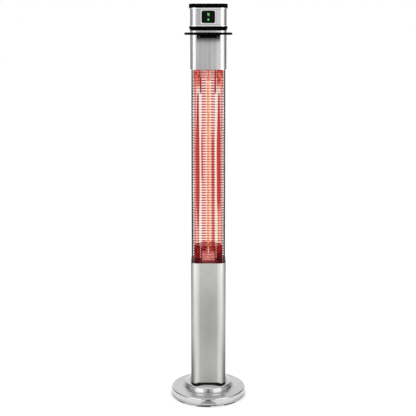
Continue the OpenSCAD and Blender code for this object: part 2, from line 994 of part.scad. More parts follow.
// Heat shield: a round-edged disc round the casing, on a screwed bracket at front and back
shield_d = 2 * (corner_reach + shield_reach);
shield_z = casing_top - neck_h - shield_t;
lug_t = 2;
lug_w = column_side - 2 * column_corner_r;
lug_foot = 12;
lug_screw_d = 4;
lug_screw_head_d = 7;
lug_screw_head_h = 2;
lug_screw_len = 8;
lug_screw_share = 0.4;
lug_screw_x = lug_screw_share * lug_w;
lug_screw_z = shield_z - (lug_t + lug_h) / 2;

module heat_shield() {
    edge_r = shield_t / 2;
    color([0.05, 0.05, 0.05])
        translate([0, 0, shield_z])
            difference() {
                rotate_extrude($fn = 96) {
                    square([shield_d / 2 - edge_r, shield_t]);
                    translate([shield_d / 2 - edge_r, edge_r])
                        circle(r = edge_r);
                }
                translate([0, 0, -over])
                    rounded_prism(column_side + 2 * seat_gap, column_corner_r + seat_gap, shield_t + 2 * over);
            }
}

module shield_brackets() {
    color([0.05, 0.05, 0.05])
        for (turn = [0, 180])
            rotate(turn)
                difference() {
                    translate([-lug_w / 2, -column_side / 2 - lug_t, shield_z - lug_h])
                        union() {
                            cube([lug_w, lug_t, lug_h]);
                            translate([0, lug_t - lug_foot, lug_h - lug_t])
                                cube([lug_w, lug_foot, lug_t]);
                        }
                    for (x = [-1, 1])
                        translate([0, -column_side / 2 + over, 0])
                            across(x * lug_screw_x, lug_screw_z)
                                cylinder(d = lug_screw_d + 2 * pin_gap, h = lug_t + 2 * over);
                }
}

module shield_screws() {
    color([0.62, 0.63, 0.64])
        for (turn = [0, 180], x = [-1, 1])
            rotate(turn)
                translate([0, -column_side / 2 - lug_t, 0])
                    across(x * lug_screw_x, lug_screw_z) {
                        cylinder(d = lug_screw_head_d, h = lug_screw_head_h);
                        translate([0, 0, -lug_screw_len])
                            cylinder(d = lug_screw_d, h = lug_screw_len);
                    }
}

// Collar: two tiers with spigots into the casing below and the head above
spigot_h = 5;
spigot_t = 3;
collar_floor_t = 3;
collar_side = column_side + 2 * collar_overhang;
collar_low_side = column_side + collar_overhang / 3;
tie_d = 4;
tie_head_h = 3;
tie_place = 40;
tie_boss_d = 10;

module at_ties() {
    for (x = [-1, 1], y = [-1, 1])
        translate([x * tie_place, y * tie_place])
            children();
}

module head_collar() {
    color([0.05, 0.05, 0.05])
        difference() {
            union() {
                translate([0, 0, casing_top])
                    rounded_prism(collar_low_side, column_corner_r, collar_low_h);
                translate([0, 0, casing_top + collar_low_h])
                    rounded_prism(collar_side, column_corner_r + collar_overhang, collar_high_h);
                translate([0, 0, casing_top - spigot_h])
                    rounded_prism(plug_side, plug_corner_r, spigot_h);
                translate([0, 0, collar_top])
                    rounded_prism(plug_side, plug_corner_r, spigot_h);
            }
            translate([0, 0, casing_top - spigot_h - over])
                rounded_prism(plug_side - 2 * spigot_t, plug_corner_r - spigot_t, spigot_h + over);
            translate([0, 0, casing_top + collar_floor_t])
                rounded_prism(
                    plug_side - 2 * spigot_t,
                    plug_corner_r - spigot_t,
                    collar_top - casing_top + spigot_h
                );
            translate([0, 0, casing_top - over])
                cylinder(d = cable_hole_d, h = collar_floor_t + 2 * over);
            at_ties()
                translate([0, 0, casing_top - over])
                    cylinder(d = tie_d + 2 * pin_gap, h = collar_floor_t + 2 * over);
        }
}

// Head casing: a sheet tube with rolled ends and a window
hem_h = 4.8;
hem_out = 0.5;
window_rise_share = 0.51;
window_z = collar_top + head_len * window_rise_share;
window_gap = 0.2;
window_out = 0.4;
window_flange = 2.4;
window_flange_t = 2;

module head_casing() {
    color([0.76, 0.76, 0.76])
        difference() {
            union() {
                translate([0, 0, collar_top])
                    rounded_tube(column_side, column_corner_r, sheet_t, head_len);
                for (z = [collar_top, head_top - hem_h])
                    translate([0, 0, z])
                        rounded_tube(
                            column_side + 2 * hem_out, column_corner_r + hem_out, sheet_t, hem_h
                        );
            }
            translate([0, -column_side / 2 + 2 * sheet_t, 0])
                across(0, window_z)
                    linear_extrude(4 * sheet_t)
                        rounded_box_outline(window_w, window_h, window_r);
        }
}

module display_window() {
    flange_y = -column_side / 2 + sheet_t + window_flange_t;
    color([0.02, 0.02, 0.02])
        translate([0, flange_y, 0])
            across(0, window_z) {
                linear_extrude(window_flange_t)
                    rounded_box_outline(
                        window_w + 2 * window_flange, window_h + 2 * window_flange, window_r
                    );
                linear_extrude(window_flange_t + sheet_t + window_out)
                    rounded_box_outline(
                        window_w - 2 * window_gap, window_h - 2 * window_gap, window_r - window_gap
                    );
            }
}

// A frame behind the window carries the display board
frame_t = 8;
frame_wall = 3;
frame_w = window_w + 2 * window_flange;
frame_h = window_h + 2 * window_flange;

module display_frame() {
    back_y = -column_side / 2 + sheet_t + window_flange_t + frame_t;
    color([0.12, 0.12, 0.12])
        translate([0, back_y, 0])
            across(0, window_z)
                linear_extrude(frame_t)
                    difference() {
                        rounded_box_outline(frame_w, frame_h, window_r);
                        rounded_box_outline(
                            frame_w - 2 * frame_wall, frame_h - 2 * frame_wall, window_r - frame_wall
                        );
                    }
}

module display_board() {
    back_y = -column_side / 2 + sheet_t + window_flange_t + frame_t + board_t;
    module_h = frame_t - board_t;
    color([0.10, 0.36, 0.20])
        translate([0, back_y, 0])
            across(0, window_z) {
                linear_extrude(board_t)
                    rounded_box_outline(frame_w, frame_h, window_r / 2);
                linear_extrude(board_t + module_h)
                    square([window_w / 2, window_h / 2], center = true);
            }
}

// A lit seven-segment figure and a round indicator, on the face of the window
digit_w = 5.6;
digit_h = 10;
segment_w = 1.3;
light_t = 0.3;
indicator_d = 4.4;
digit_rise_share = 0.18;
indicator_drop_share = 0.22;

module digit_four() {
    half = digit_h / 2;
    translate([-digit_w / 2, 0])
        square([segment_w, half]);
    translate([digit_w / 2 - segment_w, -half])
        square([segment_w, digit_h]);
    translate([-digit_w / 2, -segment_w / 2])
        square([digit_w, segment_w]);
}

module display_lights() {
    face_y = -column_side / 2 - window_out;
    color([0.25, 0.85, 0.35])
        translate([0, face_y, 0]) {
            across(0, window_z + window_h * digit_rise_share)
                linear_extrude(light_t)
                    digit_four();
            across(0, window_z - window_h * indicator_drop_share)
                cylinder(d = indicator_d, h = light_t);
        }
}

// Top cap: a moulded lid with a stepped, rounded upper edge
cap_edge = 2.4;
cap_edge_steps = 4;
cap_side = column_side + 2 * cap_overhang;
cap_corner_r = column_corner_r + cap_overhang;
cap_roof_t = 4;

module top_cap() {
    flat_h = cap_h - cap_edge;
    color([0.05, 0.05, 0.05])
        difference() {
            union() {
                translate([0, 0, head_top])
                    rounded_prism(cap_side, cap_corner_r, flat_h);
                for (step = [1 : cap_edge_steps]) {
                    turn = 90 * step / cap_edge_steps;
                    level = flat_h + cap_edge * sin(turn);
                    inset = cap_edge * (1 - cos(turn - 45 / cap_edge_steps));
                    translate([0, 0, head_top])
                        rounded_prism(cap_side - 2 * inset, cap_corner_r - inset, level);
                }
                translate([0, 0, head_top - spigot_h])
                    rounded_prism(plug_side, plug_corner_r, spigot_h);
            }
            translate([0, 0, head_top - spigot_h - over])
                difference() {
                    rounded_prism(
                        plug_side - 2 * spigot_t,
                        plug_corner_r - spigot_t,
                        spigot_h + over + cap_h - cap_roof_t
                    );
                    at_ties()
                        cylinder(d = tie_boss_d, h = spigot_h + over + cap_h);
                }
            at_ties()
                translate([0, 0, head_top - spigot_h - over])
                    cylinder(d = tie_d + 2 * pin_gap, h = spigot_h + over + cap_h - cap_roof_t);
        }
}

module tie_rods() {
    top = head_top + cap_h - cap_roof_t;
    color([0.62, 0.63, 0.64])
        at_ties()
            translate([0, 0, casing_top - tie_head_h]) {
                cylinder(d = 2 * tie_d, h = tie_head_h);
                cylinder(d = tie_d, h = top - casing_top + tie_head_h);
            }
}

// Tip-over switch in the middle of the base: a sprung plunger that the floor holds up
tip_body = 24;
tip_wall = 3;
tip_bore_d = 15;
tip_collar_d = 14;
tip_collar_t = 3;
tip_stem_d = 5;
tip_floor = plate_top + tip_wall;
tip_collar_z = tip_floor + seat_gap + plunger_travel;
spring_wire_d = 1;
spring_d = 10;
spring_turns = 6;
spring_sides = 6;
spring_steps = 8;
spring_space = 14;
tip_roof = tip_collar_z + tip_collar_t + spring_space;
tip_top = tip_roof + tip_wall;
tip_switch_size = [20, 7, 11];
tip_button_d = 3;
tip_button_h = 1.5;

module tipover_housing() {
    color([0.12, 0.12, 0.12])
        difference() {
            translate([-tip_body / 2, -tip_body / 2, plate_top])
                cube([tip_body, tip_body, tip_top - plate_top]);
            translate([0, 0, tip_floor])
                cylinder(d = tip_bore_d, h = tip_roof - tip_floor);
            translate([0, 0, plate_top - over])
                cylinder(d = plunger_d + 2 * pin_gap, h = tip_wall + 2 * over);
            translate([0, 0, tip_roof - over])
                cylinder(d = tip_stem_d + 2 * pin_gap, h = tip_wall + 2 * over);
        }
}

module tipover_plunger() {
    color([0.85, 0.15, 0.12]) {
        cylinder(d = plunger_d, h = tip_collar_z + tip_collar_t);
        translate([0, 0, tip_collar_z])
            cylinder(d = tip_collar_d, h = tip_collar_t);
        cylinder(d = tip_stem_d, h = tip_top);
    }
}

// The spring is one tube swept along a helix
spring_low = tip_collar_z + tip_collar_t + seat_gap + spring_wire_d / 2;
spring_high = tip_roof - seat_gap - spring_wire_d / 2;
spring_rings = spring_turns * spring_steps;
spring_rise = (spring_high - spring_low) / spring_rings;
spring_mean_r = (spring_d - spring_wire_d) / 2;

function spring_point(ring, side) =
    let (
        turn = 360 * ring / spring_steps,
        tilt = 360 * side / spring_sides,
        reach = spring_mean_r + spring_wire_d / 2 * cos(tilt)
    )
    [reach * cos(turn), reach * sin(turn), spring_low + spring_rise * ring + spring_wire_d / 2 * sin(tilt)];

module tipover_spring() {
    points = [
        for (ring = [0 : spring_rings], side = [0 : spring_sides - 1]) spring_point(ring, side)
    ];
    walls = [
        for (ring = [0 : spring_rings - 1], side = [0 : spring_sides - 1])
            let (
                low = ring * spring_sides,
                high = low + spring_sides,
                next = (side + 1) % spring_sides
            )
            each [
                [low + side, high + side, low + next],
                [low + next, high + side, high + next]
            ]
    ];
    first_end = [[for (side = [0 : spring_sides - 1]) side]];
    last_end = [[
        for (side = [spring_sides - 1 : -1 : 0]) spring_rings * spring_sides + side
    ]];
    color([0.70, 0.70, 0.72])
        polyhedron(points, concat(walls, first_end, last_end));
}

module tipover_switch() {
    low = tip_top + seat_gap + tip_button_h;
    color([0.10, 0.10, 0.12]) {
        translate([-tip_switch_size[0] / 2, -tip_switch_size[1] / 2, low])
            cube(tip_switch_size);
        translate([0, 0, low - tip_button_h])
            cylinder(d = tip_button_d, h = tip_button_h + over);
        for (x = [-1, 1])
            translate([x * (tip_switch_size[0] / 2 + tip_button_h / 2), 0, (tip_top + low + tip_switch_size[2]) / 2])
                cube([tip_button_h, tip_switch_size[1], low + tip_switch_size[2] - tip_top], center = true);
    }
}

base_cover();
base_plate();
ballast_ring();
rubber_feet();
base_bolts();
bolt_spacers();
foot_bracket();
bolt_nuts();
column_gasket();
lower_column();
rear_screws();
switch_housing();
power_rocker();
cable_gland();
gland_nut();
terminal_block();
terminal_bracket();
lower_mount_plate();
upper_mount_plate();
support_posts();
post_nuts();
wire_guard();
reflector();
reflector_back();
reflector_ends();
quartz_tube();
carbon_element();
lamp_caps();
lamp_holders();
wiring_conduit();
wire_loom();
thermal_cutout();
upper_casing();
insulation_board();
board_standoffs();
control_board();
power_relays();
transformer();
heat_shield();
shield_brackets();
shield_screws();
head_collar();
head_casing();
display_window();
display_frame();
display_board();
display_lights();
top_cap();
tie_rods();
tipover_housing();
tipover_plunger();
tipover_spring();
tipover_switch();
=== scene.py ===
"""Looks of the infrared patio heater tower: finishes, wire guard, glow, display and studio.

Everything is in metres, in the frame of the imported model: +Z up, the display faces -Y.
"""

import json
import math

import bpy
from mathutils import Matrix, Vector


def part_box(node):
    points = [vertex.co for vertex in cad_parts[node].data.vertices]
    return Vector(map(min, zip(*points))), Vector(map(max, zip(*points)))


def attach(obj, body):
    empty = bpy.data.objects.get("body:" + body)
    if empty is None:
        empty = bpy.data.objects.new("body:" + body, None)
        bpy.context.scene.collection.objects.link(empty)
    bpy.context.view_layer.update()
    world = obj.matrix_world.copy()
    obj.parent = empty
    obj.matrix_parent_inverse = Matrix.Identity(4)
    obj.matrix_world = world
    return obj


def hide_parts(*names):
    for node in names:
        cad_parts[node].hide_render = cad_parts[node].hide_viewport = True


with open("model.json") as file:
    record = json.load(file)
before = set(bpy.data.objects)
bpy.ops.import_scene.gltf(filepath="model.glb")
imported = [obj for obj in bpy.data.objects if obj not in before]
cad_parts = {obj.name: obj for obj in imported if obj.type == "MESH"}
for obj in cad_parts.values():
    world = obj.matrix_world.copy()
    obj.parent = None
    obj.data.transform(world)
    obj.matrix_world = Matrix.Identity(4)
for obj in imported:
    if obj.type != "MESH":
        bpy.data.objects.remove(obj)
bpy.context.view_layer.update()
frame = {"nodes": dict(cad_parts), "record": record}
nodes = frame["nodes"]

MM = 0.001

# Levels, from the model
bay_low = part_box("lower_column")[1].z
bay_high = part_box("upper_casing")[0].z
reflector_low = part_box("reflector")[0].z

# Shading of the solids: corners this close are joined, and edges over this angle stay sharp
JOIN_REACH = 0.002 * MM
SHARP_ANGLE = 31.0

# Guard
WIRE_D = 2.4 * MM
WIRE_PITCH = 8.7 * MM
GUARD_CORNER_R = 19.5 * MM
UPRIGHT_INSET = 0.85 * WIRE_D
UPRIGHT_CLEARANCE = 1.5 * WIRE_D
WIRE_SIDES = 10
CORNER_STEPS = 8

# Display: lit figure and indicator. A halo, a painted glow on the glass round each, has a half
# width, a half height and a lean
FIGURE_H = 10 * MM
FIGURE_RISE = 8 * MM
FIGURE_HALO = (3.2 * MM, 5.0 * MM, 0.2)
INDICATOR_D = 4.4 * MM
INDICATOR_HALO = (3.5 * MM, 3.5 * MM, 0.0)
HALO_EDGE = (1.6, 0.1)

# Colours of the painted glow, painted reflections and painted shade of the lamp's light, as they
# show
HOT = (0.76, 0.30, 0.125)
ORANGE = (0.97, 0.31, 0.14)
WARM_WHITE = (1.0, 0.92, 0.80)
CREAM = (1.0, 0.80, 0.73)
WHITE = (1.0, 0.97, 0.91)
PALE_PINK = (0.80, 0.46, 0.43)
PINK = (0.80, 0.27, 0.255)
ROSE = (0.74, 0.185, 0.17)
LIGHT_RED = (0.80, 0.24, 0.18)
RED = (0.72, 0.14, 0.10)
BRICK = (0.60, 0.05, 0.035)
CRIMSON = (0.50, 0.016, 0.022)
DEEP_RED = (0.34, 0.010, 0.010)
EMBER = (0.05, 0.002, 0.003)
RUNG_REFLECTION = (0.66, 0.20, 0.23)
TOP_SHADE = (0.45, 0.25, 0.30)

# Painted reflections of the lamp, as bands on the reflector in mm: distance from its middle, half
# width, soft edge
HOT_LINE = (-2.2, 3.0, 1.2)
WARM_EDGE = (0.2, 7.8, 3.0)
WHITE_BAND = (25.6, 3.0, 1.8)
INNER_RED_LEFT = (19.6, 1.8, 1.8)
INNER_RED_RIGHT = (17.9, 3.2, 3.0)
OUTER_RED = (35.4, 2.0, 1.4)
EDGE_BAND = (50.0, 7.5, 3.0)
RIM_BAND = (50.0, 3.5, 2.0)
TOP_LINE = (24.8, 2.0, 1.2)
TOP_FLANK = (50.0, 21.0, 3.0)
TOP_FLAME = (41.0, 2.0, 2.5)
LADDER = (15.9, 6.4, 1.8)
INNER_MIDDLE = -1.5 * MM
OUTER_RED_GROWTH = 3.6 * MM
DRIFT = 6 * MM
DRIFT_SCALE = 3.0

# Heights where those bands start and are full, from 0 at the foot of the bay to 1 at its top
RIM_RISE = (0.97, 0.84)
INNER_LEFT_RISE = (0.38, 0.46)
INNER_LIGHT_RISE = (0.36, 0.28)
INNER_RED_RISE = (0.74, 0.60)
GROWTH_TOP = (0.86, 0.58)
GROWTH_FOOT = (0.17, 0.36)
WARM_LEFT_RISE = (0.19, 0.15)
WARM_RIGHT_RISE = (0.32, 0.24)
CRIMSON_RISE = (0.66, 0.80)
OUTER_RED_RISE = (0.89, 0.86)
TOP_FLANK_RISE = (0.89, 0.93)
TOP_FLAME_RISE = (0.99, 0.96)
TOP_LINE_RISE = (0.865, 0.885)
HOT_LINE_RISE = (0.95, 0.91)
TOP_SHADE_RISE = (0.982, 1.0)

# Rungs of the ladders beside the hot line: painted reflections of the guard's rings in the sheet
RUNG_START = 480.5 * MM
RUNG_PITCH = 8.9 * MM
RUNG_HALF = 2.1 * MM
RUNG_SOFT = 1.2 * MM

# Painted light of the lamp on the sheets, the foot and head of the ceramic, its cap and the posts,
# and the glow of the strand; painted lines down the middle of the posts, cap and head. Runs are in
# mm
REFLECTOR_END = (5, 1)
REFLECTOR_GLOW = 0.96
SHEET_AXIS_Y = -34 * MM
STRAND = ((0.74, 0.21, 0.055), (0.84, 0.35, 0.125))
CERAMIC_FOOT = ((0.34, 0.035, 0.035), (0.74, 0.20, 0.18))
CERAMIC_HEAD = ((0.62, 0.28, 0.24), (0.84, 0.56, 0.44))
CERAMIC_TOP_SHADE = (-12, 0)
CAP_LINE = ((0.30, 0.02, 0.02), (0.95, 0.62, 0.52))
POST_LINE = ((0.12, 0.006, 0.006), (0.78, 0.34, 0.30))
PALE_LINE = (2.2, 0.8)

# Painted red glow of the lamp's light on the guard's wires: in the middle, outside each distance in
# mm, at the top and at the foot
WIRE_MIDDLE_GLOW = (0.55, 0.03, 0.01)
WIRE_GLOWS = (
    (4.5, (0.55, 0.20, 0.15)),
    (9.5, (0.36, 0.03, 0.05)),
    (22.0, (0.52, 0.38, 0.35)),
    (30.0, (0.20, 0.008, 0.010)),
)
WIRE_GLOW_SOFT = 1.2
WIRE_TOP_GLOW = (0.22, 0.02, 0.025)
WIRE_TOP_RISE = (-90, -70)
WIRE_TOP_ASIDE = (6, 12)
WIRE_FOOT_GLOWS = ((0.10, 0.004, 0.004), (0.34, 0.055, 0.05))
WIRE_FOOT_RISE = (10, 2)
WIRE_FOOT_ASIDE = (25, 20)
WIRE_LIT_ASIDE = (52, 44)
WIRE_LIT_AHEAD = (-40, -50)

# Base: how far the normal points up on the shoulders, which get painted shade, and on the flats,
# and the painted shade at the foot of the rim
SHOULDER = ((0.80, 0.60), (0.06, 0.20))
FLAT = (0.93, 0.985)
FLAT_DULLNESS = 0.18
RIM_FOOT_SHADE = (3.5, 1)

# Column in mm: depth of its faces, then distances from its middle and heights over its foot, for
# its painted highlights beside the corners and painted shade round the corners, toward the foot and
# at the foot
COLUMN_FACE = (38, 46)
COLUMN_PAINTED_HIGHLIGHT = ((28, 35), (47, 38))
COLUMN_CORNER = (49, 57)
COLUMN_PAINTED_SHADE = (42, 56)
COLUMN_PAINTED_SHADE_RISE = (220, 0)
COLUMN_FOOT_SHADE = (46, 34)
COLUMN_FOOT_SHADE_RISE = (5, 2)

# Casing in mm: painted highlight on the right flank, hem of the head, painted highlight at the edge
# of the window, painted shadow under the shield
FLANK = ((22, 32), (47, 42))
FLANK_SHARE = 0.8
HEM = 4.8 * MM
HEM_LINE = (1.0, 0.4)
HEM_LINE_SHARE = 0.7
WINDOW_EDGE = (1.8, 0.2)
CASING_FACE = (41, 36)
SHIELD_SHADE_REACH = 40 * MM
SHIELD_SHADOW_RISE = (-20, 4)
SHIELD_SHADOW_SHARE = 0.95

# Camera, as the photograph was taken
CAMERA_AT = (0.0, -3.077, 1.26)
CAMERA_PITCH = 10.08
CAMERA_LENS = 79.08
CAMERA_SHIFT = (-0.0008, -0.03)

# Studio: grey that the world lights with, the floor and the painted shadow round the base in mm
WORLD_GREY = 0.62
FLOOR_REACH = 40.0
FLOOR_GREY = 0.34
FLOOR_GLOW = 0.84
FLOOR_SHADE = 0.20
FLOOR_SHADE_REACH = (155, 125)

# Soft boxes, aimed at one height: name, azimuth, elevation, distance, width and height, radiance
AIM_HEIGHT = 0.9
SOFTBOXES = (
    ("left_box", -43, 0, 2.2, (1.7, 2.8), 2.3),
    ("right_box", 43, 0, 2.2, (1.7, 2.8), 2.3),
    ("top_box", 0, 62, 2.6, (1.6, 1.0), 1.1),
)

# Cards that show only in gloss: name, middle, turns, width and height, grey
CARDS = (
    ("left_card", (-2.1, 1.1, 1.0), (0, 0, -118), (1.7, 3.0), 0.6),
    ("right_card", (2.1, 1.1, 1.0), (0, 0, 118), (1.7, 3.0), 0.45),
    ("front_card", (0.0, -0.45, 0.16), (0, 0, 0), (0.080, 0.26), 0.005),
    ("floor_card", (0.0, -0.165, 0.001), (90, 0, 0), (0.075, 0.05), 0.5),
    ("dark_floor_card", (0.0, -0.265, 0.001), (90, 0, 0), (0.05, 0.15), 0.18),
)


# Nodes of a material


def grey(level):
    """The grey of that level."""
    return (level, level, level)


def add(tree, kind, inputs=None, **settings):
    """A new node. An input is a value, or an output socket to link."""
    node = tree.nodes.new(kind)
    for name, value in settings.items():
        setattr(node, name, value)
    for socket, value in (inputs or {}).items():
        if isinstance(value, bpy.types.NodeSocket):
            tree.links.new(value, node.inputs[socket])
        else:
            node.inputs[socket].default_value = value
    return node


def math_of(tree, operation, first, second=0.0, clamp=False):
    """One math node's result."""
    node = add(
        tree, "ShaderNodeMath", {0: first, 1: second}, operation=operation, use_clamp=clamp
    )
    return node.outputs[0]


def overlap(tree, *shares):
    """The product of several shares."""
    product = shares[0]
    for share in shares[1:]:
        product = math_of(tree, "MULTIPLY", product, share)
    return product


def gap(tree, first, second):
    """How far apart two numbers are."""
    return math_of(tree, "ABSOLUTE", math_of(tree, "SUBTRACT", first, second))


def from_axis(tree, x, y):
    """Distance from an upright axis."""
    squares = math_of(
        tree, "ADD", math_of(tree, "MULTIPLY", x, x), math_of(tree, "MULTIPLY", y, y)
    )
    return math_of(tree, "SQRT", squares)


def smooth_step(tree, value, low, high):
    """0 at low, 1 at high, and a smooth run between them. low may be the larger."""
    node = add(
        tree,
        "ShaderNodeMapRange",
        {"Value": value, "From Min": low, "From Max": high},
        interpolation_type="SMOOTHSTEP",
    )
    return node.outputs["Result"]


def ramp(tree, value, run, origin=0.0):
    """A smooth step along a run in mm, counted from origin."""
    low, high = (origin + distance * MM for distance in run)
    return smooth_step(tree, value, low, high)


def blend_colors(tree, factor, low, high):
    """A colour between low and high, which are colours or sockets."""
    low = (*low, 1.0) if isinstance(low, tuple) else low
    high = (*high, 1.0) if isinstance(high, tuple) else high
    node = add(tree, "ShaderNodeMix", {0: factor, 6: low, 7: high}, data_type="RGBA")
    return node.outputs[2]


def tinted(tree, share, color, tint):
    """A colour multiplied by a tint, as far as share says."""
    node = add(
        tree,
        "ShaderNodeMix",
        {0: share, 6: color, 7: (*tint, 1.0)},
        data_type="RGBA",
        blend_type="MULTIPLY",
    )
    return node.outputs[2]


def blend_values(tree, factor, low, high):
    """A number between low and high."""
    return add(tree, "ShaderNodeMix", {0: factor, 2: low, 3: high}).outputs[0]


def place(tree):
    """The surface point in the row frame."""
    return add(tree, "ShaderNodeTexCoord").outputs["Object"]


def coordinates(tree):
    """The surface point as x, y and z."""
    return add(tree, "ShaderNodeSeparateXYZ", {0: place(tree)}).outputs


def normal_of(tree):
    """The surface normal as x, y and z."""
    normal = add(tree, "ShaderNodeNewGeometry").outputs["Normal"]
    return add(tree, "ShaderNodeSeparateXYZ", {0: normal}).outputs


def facing(tree, direction):
    """1 where the surface looks that way."""
    dot = add(
        tree,
        "ShaderNodeVectorMath",
        {0: add(tree, "ShaderNodeNewGeometry").outputs["Normal"], 1: direction},
        operation="DOT_PRODUCT",
    )
    return math_of(tree, "GREATER_THAN", dot.outputs["Value"], 0.05)


def noise(tree, vector, scale, detail=3.0, rough=0.55):
    """Noise from 0 to 1 at that many cycles per metre."""
    node = add(
        tree,
        "ShaderNodeTexNoise",
        {"Vector": vector, "Scale": scale, "Detail": detail, "Roughness": rough},
    )
    return node.outputs["Fac"]


def patches(tree, scale, low, high, detail=2.0):
    """Soft patches, 0 where the noise is under low and 1 where it is over high."""
    return smooth_step(tree, noise(tree, place(tree), scale, detail), low, high)


# Patterns: each returns a height from 0 to 1


def hairlines(across, along):
    """Brushing up and down a panel."""

    def pattern(tree):
        stretched = add(
            tree,
            "ShaderNodeMapping",
            {"Vector": place(tree), "Scale": (across, across, along)},
        )
        return noise(tree, stretched.outputs[0], 1.0, 5.0, 0.7)

    return pattern


def rings(across, along):
    """Spun marks round the axis of the base."""

    def pattern(tree):
        x, y, z = coordinates(tree)
        spread = add(
            tree,
            "ShaderNodeCombineXYZ",
            {
                0: math_of(tree, "MULTIPLY", from_axis(tree, x, y), across),
                1: math_of(tree, "MULTIPLY", math_of(tree, "ARCTAN2", y, x), along),
                2: math_of(tree, "MULTIPLY", z, across),
            },
        )
        return noise(tree, spread.outputs[0], 1.0, 4.0, 0.65)

    return pattern


def grain(scale, detail=4.0, rough=0.6):
    """An even grain: moulded plastic, powder coat, casting or sleeve."""

    def pattern(tree):
        return noise(tree, place(tree), scale, detail, rough)

    return pattern


def spangle(scale):
    """Flat crystal patches, as on zinc-coated sheet."""

    def pattern(tree):
        node = add(tree, "ShaderNodeTexVoronoi", {"Vector": place(tree), "Scale": scale})
        return add(tree, "ShaderNodeSeparateColor", {0: node.outputs["Color"]}).outputs[0]

    return pattern


def braid(scale):
    """Crossing threads of a woven sleeve."""

    def pattern(tree):
        runs = []
        for lean in (-0.8, 0.8):
            turned = add(
                tree, "ShaderNodeMapping", {"Vector": place(tree), "Rotation": (lean, lean, 0)}
            )
            wave = add(
                tree,
                "ShaderNodeTexWave",
                {"Vector": turned.outputs[0], "Scale": scale, "Distortion": 0.6},
                bands_direction="Z",
            )
            runs.append(wave.outputs["Fac"])
        return math_of(tree, "MAXIMUM", *runs)

    return pattern


def tracks(scale):
    """Raised copper tracks under the lacquer of a circuit board."""

    def pattern(tree):
        node = add(
            tree,
            "ShaderNodeTexBrick",
            {"Vector": place(tree), "Scale": scale, "Mortar Size": 0.03},
        )
        return node.outputs["Fac"]

    return pattern


def streaks(tree):
    """Broad upright streaks, as a brushed or drawn sheet shows."""
    wide = add(
        tree, "ShaderNodeMapping", {"Vector": place(tree), "Scale": (75.0, 75.0, 0.8)}
    )
    return smooth_step(tree, noise(tree, wide.outputs[0], 1.0, 2.0), 0.35, 0.65)


def shaded(tree, color, reach, depth, share=1.0):
    """Paints shade into a colour in corners and under ledges that lie within reach, where share is
    1.
    """
    near = add(tree, "ShaderNodeAmbientOcclusion", {"Distance": reach}, samples=8)
    open_share = math_of(tree, "POWER", near.outputs["AO"], depth)
    closed = math_of(tree, "MULTIPLY", math_of(tree, "SUBTRACT", 1.0, open_share), share)
    return blend_colors(tree, closed, color, grey(0.01))


# Finishes


def parts_of(material):
    """The tree and the shader of a finish."""
    tree = material.node_tree
    return tree, tree.nodes["Principled BSDF"]


def source_of(shader, socket):
    """What is linked to a socket of the shader."""
    return shader.inputs[socket].links[0].from_socket


def make_finish(
    name,
    pattern,
    colors,
    roughness,
    metallic=0.0,
    relief=0.02,
    turn=None,
    streak=0.0,
    **sockets,
):
    """A finish whose colour, roughness and relief follow one pattern, with broad soft patches.

    relief is in millimetres. turn adds directional gloss round the axis, as (strength, rotation).
    streak is the strength of upright streaks.
    """
    material = bpy.data.materials.new(name)
    material.use_nodes = True
    tree, shader = parts_of(material)
    height = pattern(tree)
    base = blend_colors(tree, smooth_step(tree, height, 0.3, 0.7), *colors)
    dimmed = tuple(0.9 * channel for channel in colors[0])
    soft = patches(tree, 14.0, 0.42, 0.66)
    base = blend_colors(tree, math_of(tree, "MULTIPLY", soft, 0.35), base, dimmed)
    if streak:
        darker = tuple(0.72 * channel for channel in colors[0])
        base = blend_colors(tree, math_of(tree, "MULTIPLY", streaks(tree), streak), base, darker)
    tree.links.new(base, shader.inputs["Base Color"])
    spread = add(
        tree,
        "ShaderNodeMapRange",
        {"Value": height, "To Min": roughness[0], "To Max": roughness[1]},
    )
    tree.links.new(spread.outputs["Result"], shader.inputs["Roughness"])
    bump = add(
        tree, "ShaderNodeBump", {"Height": height, "Strength": 0.6, "Distance": relief * MM}
    )
    tree.links.new(bump.outputs["Normal"], shader.inputs["Normal"])
    shader.inputs["Metallic"].default_value = metallic
    if turn:
        shader.inputs["Anisotropic"].default_value = turn[0]
        shader.inputs["Anisotropic Rotation"].default_value = turn[1]
        tangent = add(tree, "ShaderNodeTangent", direction_type="RADIAL", axis="Z")
        tree.links.new(tangent.outputs[0], shader.inputs["Tangent"])
    for socket, value in sockets.items():
        shader.inputs[socket.replace("_", " ")].default_value = value
    return material


def steel(name, pattern, colors, roughness, **more):
    """A finish of bare metal."""
    return make_finish(name, pattern, colors, roughness, metallic=1.0, **more)


def light_up(material, color, strength):
    """Adds a glow to a finish. Both are values or sockets."""
    tree, shader = parts_of(material)
    for socket, value in (("Emission Color", color), ("Emission Strength", strength)):
        if isinstance(value, bpy.types.NodeSocket):
            tree.links.new(value, shader.inputs[socket])
        else:
            value = (*value, 1.0) if isinstance(value, tuple) else value
            shader.inputs[socket].default_value = value
    return material


def inner_glow(material, color, strength, back, reach=0.0, darken=False):
    """Painted red light of the lamp, as a glow on what stands in the bay in front of back. With
    darken, the base colour there is painted dark.
    """
    tree, shader = parts_of(material)
    x, y, z = coordinates(tree)
    low = math_of(tree, "GREATER_THAN", z, bay_low - reach)
    high = math_of(tree, "LESS_THAN", z, bay_high + reach)
    lit = overlap(tree, low, high, math_of(tree, "LESS_THAN", y, back))
    if darken:
        base = source_of(shader, "Base Color")
        tree.links.new(blend_colors(tree, lit, base, EMBER), shader.inputs["Base Color"])
    return light_up(material, color, math_of(tree, "MULTIPLY", lit, strength))


